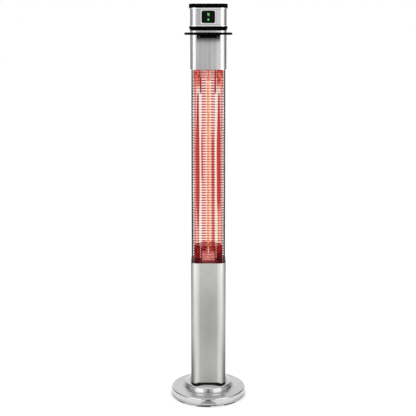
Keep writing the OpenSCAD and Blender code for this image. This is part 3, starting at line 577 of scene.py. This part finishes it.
def glow_bands(tree):
    """Painted reflections of the lamp: upright bands that taper toward the ends of the bay, with
    painted shade at its top.
    """
    x, y, z = coordinates(tree)
    seat = add(
        tree,
        "ShaderNodeCombineXYZ",
        {0: math_of(tree, "SIGN", x), 1: 0.0, 2: math_of(tree, "MULTIPLY", z, DRIFT_SCALE)},
    )
    drift = math_of(tree, "SUBTRACT", noise(tree, seat.outputs[0], 1.0, 1.0), 0.5)
    drift = math_of(tree, "MULTIPLY", drift, DRIFT)
    across = math_of(tree, "ADD", math_of(tree, "ABSOLUTE", x), drift)
    inner = math_of(tree, "ADD", gap(tree, x, INNER_MIDDLE), drift)
    height = math_of(
        tree, "DIVIDE", math_of(tree, "SUBTRACT", z, bay_low), bay_high - bay_low
    )
    mottle = noise(tree, place(tree), 55.0, 2.0)
    right = math_of(tree, "GREATER_THAN", x, 0.0)

    def rise(run):
        return smooth_step(tree, height, *run)

    def lay(share, over, under):
        return blend_colors(tree, share, under, over)

    def band(distance, sizes, growth=0.0):
        middle, half, soft = (size * MM for size in sizes)
        away = math_of(tree, "SUBTRACT", gap(tree, distance, middle), growth)
        return smooth_step(tree, away, half + soft, half)

    color = lay(band(inner, WHITE_BAND), WHITE, CREAM)
    color = lay(band(x, WARM_EDGE), WARM_WHITE, color)
    flank = lay(smooth_step(tree, mottle, 0.44, 0.56), PINK, ROSE)
    color = lay(band(across, EDGE_BAND), flank, color)
    color = lay(overlap(tree, rise(RIM_RISE), band(across, RIM_BAND)), PALE_PINK, color)

    left_band = overlap(tree, rise(INNER_LEFT_RISE), band(inner, INNER_RED_LEFT))
    inner_band = blend_values(tree, right, left_band, band(inner, INNER_RED_RIGHT))
    inner_red = lay(rise(INNER_LIGHT_RISE), LIGHT_RED, RED)
    color = lay(overlap(tree, rise(INNER_RED_RISE), inner_band), inner_red, color)

    growth = overlap(tree, rise(GROWTH_TOP), rise(GROWTH_FOOT), OUTER_RED_GROWTH)
    warm = blend_values(tree, right, rise(WARM_LEFT_RISE), rise(WARM_RIGHT_RISE))
    outer_red = lay(rise(CRIMSON_RISE), CRIMSON, lay(warm, ORANGE, BRICK))
    outer_band = band(across, OUTER_RED, growth)
    color = lay(overlap(tree, rise(OUTER_RED_RISE), outer_band), outer_red, color)

    lit = smooth_step(tree, mottle, 0.38, 0.56)
    flame = overlap(tree, lit, rise(TOP_FLAME_RISE), band(across, TOP_FLAME))
    flame = lay(flame, ORANGE, lay(lit, ROSE, BRICK))
    color = lay(overlap(tree, rise(TOP_FLANK_RISE), band(across, TOP_FLANK)), flame, color)
    color = lay(overlap(tree, rise(TOP_LINE_RISE), band(inner, TOP_LINE)), DEEP_RED, color)

    # Painted reflections of the guard's rings, as rungs across the ladders
    level = math_of(tree, "DIVIDE", math_of(tree, "SUBTRACT", z, RUNG_START), RUNG_PITCH)
    off_rung = gap(tree, level, math_of(tree, "ROUND", level))
    off_rung = math_of(tree, "MULTIPLY", off_rung, RUNG_PITCH)
    rung = smooth_step(tree, off_rung, RUNG_HALF + RUNG_SOFT, RUNG_HALF)
    color = tinted(tree, overlap(tree, rung, band(across, LADDER)), color, RUNG_REFLECTION)
    color = lay(overlap(tree, rise(HOT_LINE_RISE), band(x, HOT_LINE)), HOT, color)
    # Painted shade at the top of the bay, and painted dark red light at the foot of the sheet
    color = tinted(tree, rise(TOP_SHADE_RISE), color, TOP_SHADE)
    return lay(ramp(tree, z, REFLECTOR_END, reflector_low), DEEP_RED, color)


def reflector_finish():
    """Polished sheet that glows with painted reflections of the lamp in upright bands; faces turned
    from the lamp are painted dark. Its shelf at the foot glows a painted dark red.
    """
    material = steel(
        "reflector_sheet",
        hairlines(900.0, 6.0),
        ((0.70, 0.55, 0.48), (0.80, 0.66, 0.58)),
        (0.12, 0.24),
        relief=0.01,
    )
    tree, shader = parts_of(material)
    level = facing(tree, (0.0, 0.0, 1.0))
    lit = math_of(tree, "MAXIMUM", facing(tree, (0.0, -1.0, 0.0)), level)
    # Faces that look neither forward nor up are painted dark, as shade
    color = blend_colors(tree, lit, (0.6, 0.58, 0.56), (0.04, 0.02, 0.02))
    tree.links.new(color, shader.inputs["Base Color"])
    # Painted dark red glow of the lamp's light on the shelf
    shelf = blend_colors(tree, patches(tree, 90.0, 0.42, 0.58), EMBER, DEEP_RED)
    bands = blend_colors(tree, level, glow_bands(tree), shelf)
    return light_up(material, bands, math_of(tree, "MULTIPLY", lit, REFLECTOR_GLOW))


def back_sheet_finish():
    """Plain sheet outside; inside it is painted dark and glows with painted red light and painted
    reflections of the lamp.
    """
    material = make_finish(
        "back_sheet",
        spangle(120.0),
        ((0.50, 0.50, 0.51), (0.60, 0.60, 0.61)),
        (0.3, 0.45),
        metallic=0.9,
    )
    tree, shader = parts_of(material)
    x, y, z = coordinates(tree)
    normal = normal_of(tree)
    outward = math_of(
        tree,
        "ADD",
        math_of(tree, "MULTIPLY", x, normal[0]),
        math_of(tree, "MULTIPLY", math_of(tree, "SUBTRACT", y, SHEET_AXIS_Y), normal[1]),
    )
    inside = math_of(tree, "LESS_THAN", outward, 0.0)
    # Painted dim red light below the reflector
    dark_end = blend_colors(tree, patches(tree, 70.0, 0.36, 0.54, 3.0), EMBER, DEEP_RED)
    upper = math_of(tree, "GREATER_THAN", z, reflector_low)
    red = blend_colors(tree, upper, dark_end, glow_bands(tree))
    color = blend_colors(tree, inside, source_of(shader, "Base Color"), EMBER)
    tree.links.new(color, shader.inputs["Base Color"])
    return light_up(material, red, inside)


def element_finish():
    """The wound carbon strand, orange hot."""
    material = make_finish(
        "element", braid(160.0), ((0.10, 0.03, 0.01), (0.2, 0.06, 0.02)), (0.5, 0.7)
    )
    tree, shader = parts_of(material)
    return light_up(material, blend_colors(tree, braid(160.0)(tree), *STRAND), 1.0)


def quartz_finish():
    """Clear tube with a faint painted warm glow of the strand's light."""
    material = make_finish(
        "quartz",
        grain(260.0),
        ((1.0, 0.93, 0.86), (1.0, 0.97, 0.92)),
        (0.02, 0.08),
        relief=0.004,
        Transmission_Weight=1.0,
        IOR=1.45,
    )
    return light_up(material, ORANGE, 0.04)


def ceramic_finish():
    """Pale ceramic glowing with painted light of the lamp: mottled red at the foot, cream at the
    head, with painted shade at the top of the bay.
    """
    material = make_finish(
        "lamp_ceramic",
        grain(600.0),
        ((0.30, 0.16, 0.14), (0.36, 0.20, 0.17)),
        (0.5, 0.7),
        relief=0.05,
    )
    tree, shader = parts_of(material)
    x, y, z = coordinates(tree)
    mottle = patches(tree, 170.0, 0.42, 0.58)
    # A line down the middle: painted highlight on the cap, painted dark red on the head
    line = ramp(tree, math_of(tree, "ABSOLUTE", x), PALE_LINE)
    low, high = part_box("lamp_caps")
    off_axis = math_of(tree, "SUBTRACT", y, (low.y + high.y) / 2)
    on_cap = math_of(tree, "LESS_THAN", from_axis(tree, x, off_axis), high.x + 0.2 * MM)
    foot = blend_colors(tree, mottle, *CERAMIC_FOOT)
    foot = blend_colors(tree, on_cap, foot, blend_colors(tree, line, *CAP_LINE))
    head = blend_colors(tree, mottle, *CERAMIC_HEAD)
    head = blend_colors(tree, line, head, CRIMSON)
    # Painted shade at the top of the bay
    head = tinted(tree, ramp(tree, z, CERAMIC_TOP_SHADE, bay_high), head, TOP_SHADE)
    upper = math_of(tree, "GREATER_THAN", z, (bay_low + bay_high) / 2)
    color = blend_colors(tree, upper, foot, head)
    return inner_glow(material, color, strength=0.8, back=60 * MM)


def bright_steel_finish():
    """Bright steel. In the bay it is painted dark and glows with painted deep red light of the
    lamp, with a painted highlight line down the middle of each post.
    """
    material = steel(
        "bright_steel", hairlines(700.0, 60.0), (grey(0.60), grey(0.68)), (0.2, 0.32)
    )
    tree, shader = parts_of(material)
    x = coordinates(tree)[0]
    low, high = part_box("support_posts")
    middle = high.x - (high.y - low.y) / 2
    line = ramp(tree, gap(tree, math_of(tree, "ABSOLUTE", x), middle), PALE_LINE)
    color = blend_colors(tree, line, *POST_LINE)
    return inner_glow(material, color, strength=0.9, back=27 * MM, darken=True)


def spun_finish():
    """Spun steel with rings round its axis, duller on the flats than on the walls, with painted
    shade on the shoulders, in hollows and at the foot of the rim.
    """
    material = steel(
        "spun_steel",
        rings(1500.0, 1.2),
        ((0.53, 0.53, 0.535), (0.65, 0.65, 0.655)),
        (0.12, 0.20),
        turn=(0.4, 0.25),
        relief=0.015,
    )
    tree, shader = parts_of(material)
    up = normal_of(tree)[2]
    z = coordinates(tree)[2]
    # Painted shade on the shoulders
    shoulder = overlap(tree, *(smooth_step(tree, up, *run) for run in SHOULDER))
    color = tinted(tree, shoulder, source_of(shader, "Base Color"), grey(0.54))
    # Painted shade at the foot of the rim
    foot_shade = ramp(tree, z, RIM_FOOT_SHADE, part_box("base_cover")[0].z)
    color = tinted(tree, foot_shade, color, grey(0.25))
    # Painted shade in hollows
    tree.links.new(shaded(tree, color, 10 * MM, 1.0), shader.inputs["Base Color"])
    dull = math_of(tree, "MULTIPLY", smooth_step(tree, up, *FLAT), FLAT_DULLNESS)
    roughness = math_of(tree, "ADD", source_of(shader, "Roughness"), dull)
    tree.links.new(roughness, shader.inputs["Roughness"])
    return material


def satin_finish():
    """Satin steel with painted highlights beside its corners and painted shade round them, most of
    all toward the foot, and a painted shadow line at the foot.
    """
    material = steel(
        "satin_steel",
        hairlines(1800.0, 30.0),
        ((0.43, 0.43, 0.42), (0.47, 0.47, 0.46)),
        (0.32, 0.40),
        relief=0.008,
    )
    tree, shader = parts_of(material)
    x, y, z = coordinates(tree)
    low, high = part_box("lower_column")
    away = math_of(tree, "ABSOLUTE", x)
    on_face = ramp(tree, gap(tree, y, (low.y + high.y) / 2), COLUMN_FACE)
    # Painted highlight beside the corners
    pale = overlap(tree, on_face, *(ramp(tree, away, run) for run in COLUMN_PAINTED_HIGHLIGHT))
    color = blend_colors(tree, pale, source_of(shader, "Base Color"), (0.60, 0.60, 0.59))
    # Painted shade round the corners
    corner = overlap(tree, ramp(tree, away, COLUMN_CORNER), on_face)
    color = tinted(tree, corner, color, grey(0.72))
    # Painted shade toward the foot
    foot = ramp(tree, z, COLUMN_PAINTED_SHADE_RISE, low.z)
    painted_shade = overlap(tree, ramp(tree, away, COLUMN_PAINTED_SHADE), on_face, foot)
    color = tinted(tree, painted_shade, color, (0.35, 0.35, 0.34))
    # Painted shadow line at the foot
    foot_shade = ramp(tree, z, COLUMN_FOOT_SHADE_RISE, low.z)
    foot_shade = overlap(tree, foot_shade, ramp(tree, away, COLUMN_FOOT_SHADE))
    color = tinted(tree, foot_shade, color, grey(0.04))
    tree.links.new(color, shader.inputs["Base Color"])
    return material


def casing_finish():
    """Brushed steel with hemmed ends on the head, a painted highlight on the right flank and round
    the window, and a painted shadow under the heat shield.
    """
    material = steel(
        "brushed_casing",
        hairlines(1300.0, 8.0),
        (grey(0.40), grey(0.50)),
        (0.20, 0.30),
        relief=0.012,
        streak=0.6,
    )
    tree, shader = parts_of(material)
    x, y, z = coordinates(tree)
    away = math_of(tree, "ABSOLUTE", x)
    ahead = math_of(tree, "LESS_THAN", y, 0.0)
    # Painted highlight on the right flank
    flank = overlap(tree, ahead, *(ramp(tree, x, run) for run in FLANK), FLANK_SHARE)
    color = blend_colors(tree, flank, source_of(shader, "Base Color"), grey(0.60))

    low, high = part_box("head_casing")
    over_foot = math_of(tree, "SUBTRACT", z, low.z)
    edge = math_of(tree, "MINIMUM", over_foot, math_of(tree, "SUBTRACT", high.z, z))
    on_head = math_of(tree, "GREATER_THAN", edge, 0.0)
    hem = overlap(tree, on_head, math_of(tree, "LESS_THAN", edge, HEM))
    color = blend_colors(tree, hem, color, grey(0.66))
    line = overlap(tree, ramp(tree, gap(tree, edge, HEM), HEM_LINE), HEM_LINE_SHARE)
    color = blend_colors(tree, line, color, grey(0.12))

    window_low, window_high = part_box("display_window")
    middle = (window_low + window_high) / 2
    aside = math_of(tree, "SUBTRACT", away, window_high.x)
    above = math_of(tree, "SUBTRACT", gap(tree, z, middle.z), window_high.z - middle.z)
    off_window = math_of(tree, "MAXIMUM", aside, above)
    # Painted highlight round the window's edge
    window_highlight = overlap(tree, on_head, ramp(tree, off_window, WINDOW_EDGE))
    color = blend_colors(tree, window_highlight, color, grey(0.62))

    # Painted shade and painted shadow under the heat shield
    strip_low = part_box("shield_brackets")[0].z
    below = math_of(tree, "LESS_THAN", z, strip_low)
    under = overlap(tree, below, ramp(tree, away, CASING_FACE))
    color = shaded(tree, color, SHIELD_SHADE_REACH, 2.0, under)
    painted_shade = ramp(tree, z, SHIELD_SHADOW_RISE, strip_low)
    painted_shade = overlap(tree, under, painted_shade, SHIELD_SHADOW_SHARE)
    color = blend_colors(tree, painted_shade, color, grey(0.02))
    tree.links.new(color, shader.inputs["Base Color"])
    return material


def guard_wire_finish():
    """Dark bright wire, painted darker and glowing with painted red light of the lamp where it
    crosses the lit reflector.
    """
    material = steel(
        "guard_wire", grain(500.0), ((0.05, 0.048, 0.048), (0.09, 0.085, 0.085)), (0.24, 0.36)
    )
    tree, shader = parts_of(material)
    x, y, z = coordinates(tree)
    away = math_of(tree, "ABSOLUTE", x)
    # Painted glow of the lamp's light on the wire, set by place
    tint = WIRE_MIDDLE_GLOW
    for edge, color in WIRE_GLOWS:
        outside = ramp(tree, away, (edge - WIRE_GLOW_SOFT, edge + WIRE_GLOW_SOFT))
        tint = blend_colors(tree, outside, tint, color)
    top = ramp(tree, z, WIRE_TOP_RISE, bay_high)
    top = overlap(tree, top, ramp(tree, away, WIRE_TOP_ASIDE))
    tint = blend_colors(tree, top, tint, WIRE_TOP_GLOW)
    foot_glow = blend_colors(tree, ramp(tree, away, WIRE_FOOT_ASIDE), *WIRE_FOOT_GLOWS)
    foot = ramp(tree, z, WIRE_FOOT_RISE, reflector_low)
    tint = blend_colors(tree, foot, tint, foot_glow)
    lit = overlap(tree, ramp(tree, away, WIRE_LIT_ASIDE), ramp(tree, y, WIRE_LIT_AHEAD))
    color = blend_colors(tree, lit, source_of(shader, "Base Color"), (0.02, 0.015, 0.015))
    tree.links.new(color, shader.inputs["Base Color"])
    return light_up(material, tint, lit)


def display_glass_finish():
    """Black glass with a faint smear of handling and a painted glow, a halo, of the lit figure and
    indicator.
    """
    material = make_finish(
        "display_glass",
        grain(70.0, 2.0),
        (grey(0.001), grey(0.003)),
        (0.05, 0.16),
        relief=0.002,
        Specular_IOR_Level=0.06,
    )
    tree, shader = parts_of(material)
    x, y, z = coordinates(tree)
    low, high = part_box("display_lights")

    def halo(middle, half_width, half_height, lean):
        up = math_of(tree, "SUBTRACT", z, middle)
        beside = math_of(tree, "SUBTRACT", x, math_of(tree, "MULTIPLY", up, lean))
        spread = math_of(
            tree,
            "ADD",
            math_of(tree, "POWER", math_of(tree, "DIVIDE", beside, half_width), 2.0),
            math_of(tree, "POWER", math_of(tree, "DIVIDE", up, half_height), 2.0),
        )
        return smooth_step(tree, spread, *HALO_EDGE)

    # Painted glow on the glass round the figure and the indicator
    figure = halo(high.z - FIGURE_H / 2, *FIGURE_HALO)
    indicator = halo(low.z + INDICATOR_D / 2, *INDICATOR_HALO)
    color = blend_colors(tree, figure, (0.01, 0.52, 0.04), (0.05, 0.24, 0.05))
    return light_up(material, color, math_of(tree, "MAXIMUM", figure, indicator))


def display_light_finish():
    """Green light under the glass, paler in the figure than in the indicator."""
    material = make_finish(
        "display_light", grain(400.0), ((0.02, 0.10, 0.03), (0.03, 0.16, 0.05)), (0.3, 0.4)
    )
    tree, shader = parts_of(material)
    figure_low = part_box("display_lights")[0].z + FIGURE_RISE
    figure = math_of(tree, "GREATER_THAN", coordinates(tree)[2], figure_low)
    color = blend_colors(tree, figure, (0.03, 1.0, 0.10), (0.22, 0.80, 0.18))
    return light_up(material, color, 1.0)


FINISHES = {
    "spun_steel": spun_finish(),
    "satin_steel": satin_finish(),
    "brushed_casing": casing_finish(),
    "guard_wire": guard_wire_finish(),
    "bright_steel": bright_steel_finish(),
    # Zinc steel, painted dark in the bay and glowing there with a faint painted red light of the
    # lamp
    "zinc_steel": inner_glow(
        steel(
            "zinc_steel", spangle(160.0), ((0.48, 0.49, 0.51), (0.60, 0.61, 0.63)), (0.28, 0.44)
        ),
        DEEP_RED,
        strength=0.05,
        back=60 * MM,
        reach=1 * MM,
        darken=True,
    ),
    "dark_steel": make_finish(
        "dark_steel",
        grain(350.0),
        (grey(0.015), grey(0.03)),
        (0.4, 0.6),
        metallic=0.7,
        relief=0.04,
    ),
    "cast_iron": make_finish(
        "cast_iron",
        grain(220.0, 6.0, 0.7),
        (grey(0.07), (0.13, 0.12, 0.12)),
        (0.6, 0.8),
        metallic=0.6,
        relief=0.2,
    ),
    "back_sheet": back_sheet_finish(),
    "reflector_sheet": reflector_finish(),
    "black_metal": make_finish(
        "black_metal",
        grain(900.0),
        (grey(0.0002), grey(0.0006)),
        (0.36, 0.52),
        relief=0.03,
        Specular_IOR_Level=0.02,
    ),
    "black_plastic": make_finish(
        "black_plastic",
        grain(1200.0),
        (grey(0.0002), grey(0.0006)),
        (0.34, 0.46),
        relief=0.02,
        Specular_IOR_Level=0.02,
    ),
    "rocker_plastic": make_finish(
        "rocker_plastic",
        grain(1500.0),
        (grey(0.012), grey(0.022)),
        (0.25, 0.35),
        relief=0.01,
    ),
    "plunger_plastic": make_finish(
        "plunger_plastic",
        grain(900.0),
        ((0.45, 0.03, 0.02), (0.6, 0.05, 0.03)),
        (0.3, 0.45),
    ),
    "pale_plastic": make_finish(
        "pale_plastic",
        grain(900.0),
        ((0.66, 0.66, 0.62), (0.76, 0.76, 0.72)),
        (0.35, 0.5),
    ),
    "rubber": make_finish(
        "rubber",
        grain(700.0, 5.0, 0.7),
        (grey(0.002), grey(0.006)),
        (0.7, 0.9),
        relief=0.06,
        Specular_IOR_Level=0.05,
    ),
    "quartz": quartz_finish(),
    "element": element_finish(),
    "lamp_ceramic": ceramic_finish(),
    "loom_sleeve": make_finish(
        "loom_sleeve",
        braid(420.0),
        ((0.40, 0.38, 0.32), (0.62, 0.60, 0.52)),
        (0.7, 0.9),
        relief=0.2,
    ),
    "insulation": make_finish(
        "insulation",
        grain(260.0, 6.0, 0.75),
        ((0.60, 0.58, 0.54), (0.74, 0.72, 0.68)),
        (0.8, 0.95),
        relief=0.3,
    ),
    "brass_post": steel(
        "brass_post", grain(500.0), ((0.60, 0.44, 0.18), (0.74, 0.58, 0.27)), (0.2, 0.35)
    ),
    "circuit_board": make_finish(
        "circuit_board",
        tracks(160.0),
        ((0.02, 0.16, 0.06), (0.04, 0.26, 0.11)),
        (0.3, 0.4),
        relief=0.05,
    ),
    "transformer_varnish": make_finish(
        "transformer_varnish",
        hairlines(900.0, 40.0),
        ((0.14, 0.08, 0.03), (0.26, 0.15, 0.06)),
        (0.3, 0.5),
        relief=0.1,
    ),
    "display_glass": display_glass_finish(),
    "display_light": display_light_finish(),
}


# Shading of the solids


def smoothing_group():
    """Joins the split corners of a solid and shades it smooth up to an edge angle."""
    group = bpy.data.node_groups.new("even_shading", "GeometryNodeTree")
    group.interface.new_socket("Geometry", in_out="INPUT", socket_type="NodeSocketGeometry")
    group.interface.new_socket("Geometry", in_out="OUTPUT", socket_type="NodeSocketGeometry")
    entry = group.nodes.new("NodeGroupInput")
    leave = group.nodes.new("NodeGroupOutput")
    joined = add(
        group,
        "GeometryNodeMergeByDistance",
        {"Geometry": entry.outputs[0], "Distance": JOIN_REACH},
    )
    smooth = add(
        group, "GeometryNodeSetShadeSmooth", {"Geometry": joined.outputs[0]}, domain="FACE"
    )
    angle = group.nodes.new("GeometryNodeInputMeshEdgeAngle")
    sharp = add(
        group,
        "FunctionNodeCompare",
        {0: angle.outputs["Unsigned Angle"], 1: math.radians(SHARP_ANGLE)},
        data_type="FLOAT",
        operation="GREATER_THAN",
    )
    kept = add(
        group,
        "GeometryNodeSetShadeSmooth",
        {"Geometry": smooth.outputs[0], "Selection": sharp.outputs[0], "Shade Smooth": False},
        domain="EDGE",
    )
    group.links.new(kept.outputs[0], leave.inputs[0])
    return group


even_shading = smoothing_group()
slots = {part["node"]: part["material_slot"] for part in frame["record"]["subparts"]}
for name, solid in nodes.items():
    solid.data.materials.clear()
    solid.data.materials.append(FINISHES[slots[name]])
    shading = solid.modifiers.new("even_shading", "NODES")
    shading.node_group = even_shading


# Wire guard


def rounded_square(half, corner_r, steps):
    """Points round a square with round corners, anticlockwise from the right."""
    points = []
    for quarter, (x, y) in enumerate(((1, 1), (-1, 1), (-1, -1), (1, -1))):
        centre = (x * (half - corner_r), y * (half - corner_r))
        for step in range(steps + 1):
            turn = math.radians(90 * quarter + 90 * step / steps)
            points.append(
                (centre[0] + corner_r * math.cos(turn), centre[1] + corner_r * math.sin(turn))
            )
    return points


def wire(mesh, path, radius, closed):
    """Adds a round wire along a path to a (vertices, faces) pair."""
    vertices, faces = mesh
    first = len(vertices)
    count = len(path)
    for index, point in enumerate(path):
        before = path[index - 1] if closed or index else path[0]
        after = path[(index + 1) % count] if closed or index + 1 < count else path[-1]
        along = [b - a for a, b in zip(before, after)]
        length = math.hypot(*along)
        along = [part / length for part in along]
        if abs(along[2]) > 0.5:
            out, up = (1.0, 0.0, 0.0), (0.0, 1.0, 0.0)
        else:
            out, up = (along[1], -along[0], 0.0), (0.0, 0.0, 1.0)
        for side in range(WIRE_SIDES):
            turn = 2 * math.pi * side / WIRE_SIDES
            vertices.append(
                tuple(
                    point[axis] + radius * (math.cos(turn) * out[axis] + math.sin(turn) * up[axis])
                    for axis in range(3)
                )
            )
    for index in range(count if closed else count - 1):
        here = first + index * WIRE_SIDES
        there = first + (index + 1) % count * WIRE_SIDES
        for side in range(WIRE_SIDES):
            following = (side + 1) % WIRE_SIDES
            faces.append((here + side, there + side, there + following, here + following))
    if not closed:
        faces.append(tuple(first + side for side in range(WIRE_SIDES)))
        last = first + (count - 1) * WIRE_SIDES
        faces.append(tuple(last + side for side in reversed(range(WIRE_SIDES))))


def make_piece(name, vertices, faces, slot):
    """A new piece of the tower, shaded smooth."""
    data = bpy.data.meshes.new(name)
    data.from_pydata(vertices, [], faces)
    data.validate()
    data.shade_smooth()
    piece = bpy.data.objects.new(name, data)
    bpy.context.scene.collection.objects.link(piece)
    piece.data.materials.append(FINISHES[slot])
    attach(piece, "tower")
    return piece


def make_guard():
    """Round-wire rings welded to uprights inside the two sides."""
    low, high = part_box("wire_guard")
    length = high.z - low.z
    half = high.x - WIRE_D / 2
    count = int((length - WIRE_D) / WIRE_PITCH + 1e-6)
    margin = (length - (count - 1) * WIRE_PITCH) / 2
    outline = rounded_square(half, GUARD_CORNER_R - WIRE_D / 2, CORNER_STEPS)
    mesh = ([], [])
    for index in range(count):
        z = low.z + margin + index * WIRE_PITCH
        wire(mesh, [(x, y, z) for x, y in outline], WIRE_D / 2, closed=True)
    inner = half - UPRIGHT_INSET
    reach = high.x - GUARD_CORNER_R - UPRIGHT_CLEARANCE
    for side in (-1, 1):
        for y in (-reach, 0.0, reach):
            path = [(side * inner, y, low.z), (side * inner, y, high.z)]
            wire(mesh, path, WIRE_D / 2, closed=False)
    guard = make_piece("guard_wires", *mesh, "guard_wire")
    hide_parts("wire_guard")


make_guard()


# Studio


def light_path(tree):
    """1 for rays that show the background: from the camera, in gloss and through glass."""
    path = add(tree, "ShaderNodeLightPath")
    in_surfaces = math_of(
        tree, "ADD", path.outputs["Is Glossy Ray"], path.outputs["Is Transmission Ray"]
    )
    return math_of(tree, "ADD", path.outputs["Is Camera Ray"], in_surfaces, clamp=True)


def make_world():
    """White behind the object, soft and plainer as light."""
    world = bpy.data.worlds.new("studio")
    bpy.context.scene.world = world
    world.use_nodes = True
    tree = world.node_tree
    background = tree.nodes["Background"]
    color = blend_colors(tree, light_path(tree), grey(WORLD_GREY), grey(1.0))
    tree.links.new(color, background.inputs["Color"])


def studio_sheet(name, corners, level):
    """A matt grey sheet with four corners, and its material."""
    data = bpy.data.meshes.new(name)
    data.from_pydata(corners, [], [(0, 1, 2, 3)])
    sheet = bpy.data.objects.new(name, data)
    bpy.context.scene.collection.objects.link(sheet)
    material = bpy.data.materials.new(name)
    material.use_nodes = True
    tree, shader = parts_of(material)
    shader.inputs["Base Color"].default_value = (*grey(level), 1.0)
    shader.inputs["Roughness"].default_value = 1.0
    shader.inputs["Specular IOR Level"].default_value = 0.0
    data.materials.append(material)
    return sheet, material


def make_floor():
    """A white floor that keeps a faint shadow, with a painted shadow round the base."""
    reach = FLOOR_REACH
    corners = [(-reach, -reach, 0), (reach, -reach, 0), (reach, reach, 0), (-reach, reach, 0)]
    floor, material = studio_sheet("floor", corners, FLOOR_GREY)
    tree, shader = parts_of(material)
    x, y, z = coordinates(tree)
    # Painted shadow round the base
    shade = ramp(tree, from_axis(tree, x, y), FLOOR_SHADE_REACH)
    shade = math_of(tree, "MULTIPLY", shade, FLOOR_SHADE)
    level = math_of(tree, "SUBTRACT", FLOOR_GLOW, shade)
    light_up(material, grey(1.0), math_of(tree, "MULTIPLY", light_path(tree), level))


def make_softbox(name, azimuth, elevation, distance, size, radiance):
    """A soft rectangle of light that looks at the tower."""
    data = bpy.data.lights.new(name, "AREA")
    data.shape = "RECTANGLE"
    data.size, data.size_y = size
    data.energy = radiance * math.pi * size[0] * size[1]
    box = bpy.data.objects.new(name, data)
    turn, rise = math.radians(azimuth), math.radians(elevation)
    box.location = (
        distance * math.cos(rise) * math.sin(turn),
        -distance * math.cos(rise) * math.cos(turn),
        AIM_HEIGHT + distance * math.sin(rise),
    )
    box.rotation_euler = (math.radians(90 - elevation), 0.0, turn)
    box.visible_camera = False
    bpy.context.scene.collection.objects.link(box)


def make_card(name, middle, turns, size, level):
    """A studio card that shows only in gloss. Untouched by turns, it stands across the view."""
    side, top = size[0] / 2, size[1] / 2
    corners = [(-side, 0, -top), (side, 0, -top), (side, 0, top), (-side, 0, top)]
    card, material = studio_sheet(name, corners, level)
    card.location = middle
    card.rotation_euler = [math.radians(turn) for turn in turns]
    for ray in ("camera", "diffuse", "transmission", "volume_scatter", "shadow"):
        setattr(card, "visible_" + ray, False)


def make_camera():
    """The photograph's camera: a little over the lamp bay, looking down."""
    data = bpy.data.cameras.new("camera")
    data.lens = CAMERA_LENS
    data.shift_x, data.shift_y = CAMERA_SHIFT
    data.clip_start, data.clip_end = 0.05, 100.0
    camera = bpy.data.objects.new("camera", data)
    camera.location = CAMERA_AT
    camera.rotation_euler = (math.radians(90 - CAMERA_PITCH), 0.0, 0.0)
    bpy.context.scene.collection.objects.link(camera)
    bpy.context.scene.camera = camera


make_world()
make_floor()
for softbox in SOFTBOXES:
    make_softbox(*softbox)
for card in CARDS:
    make_card(*card)
make_camera()

scene = bpy.context.scene
scene.view_settings.view_transform = "Standard"
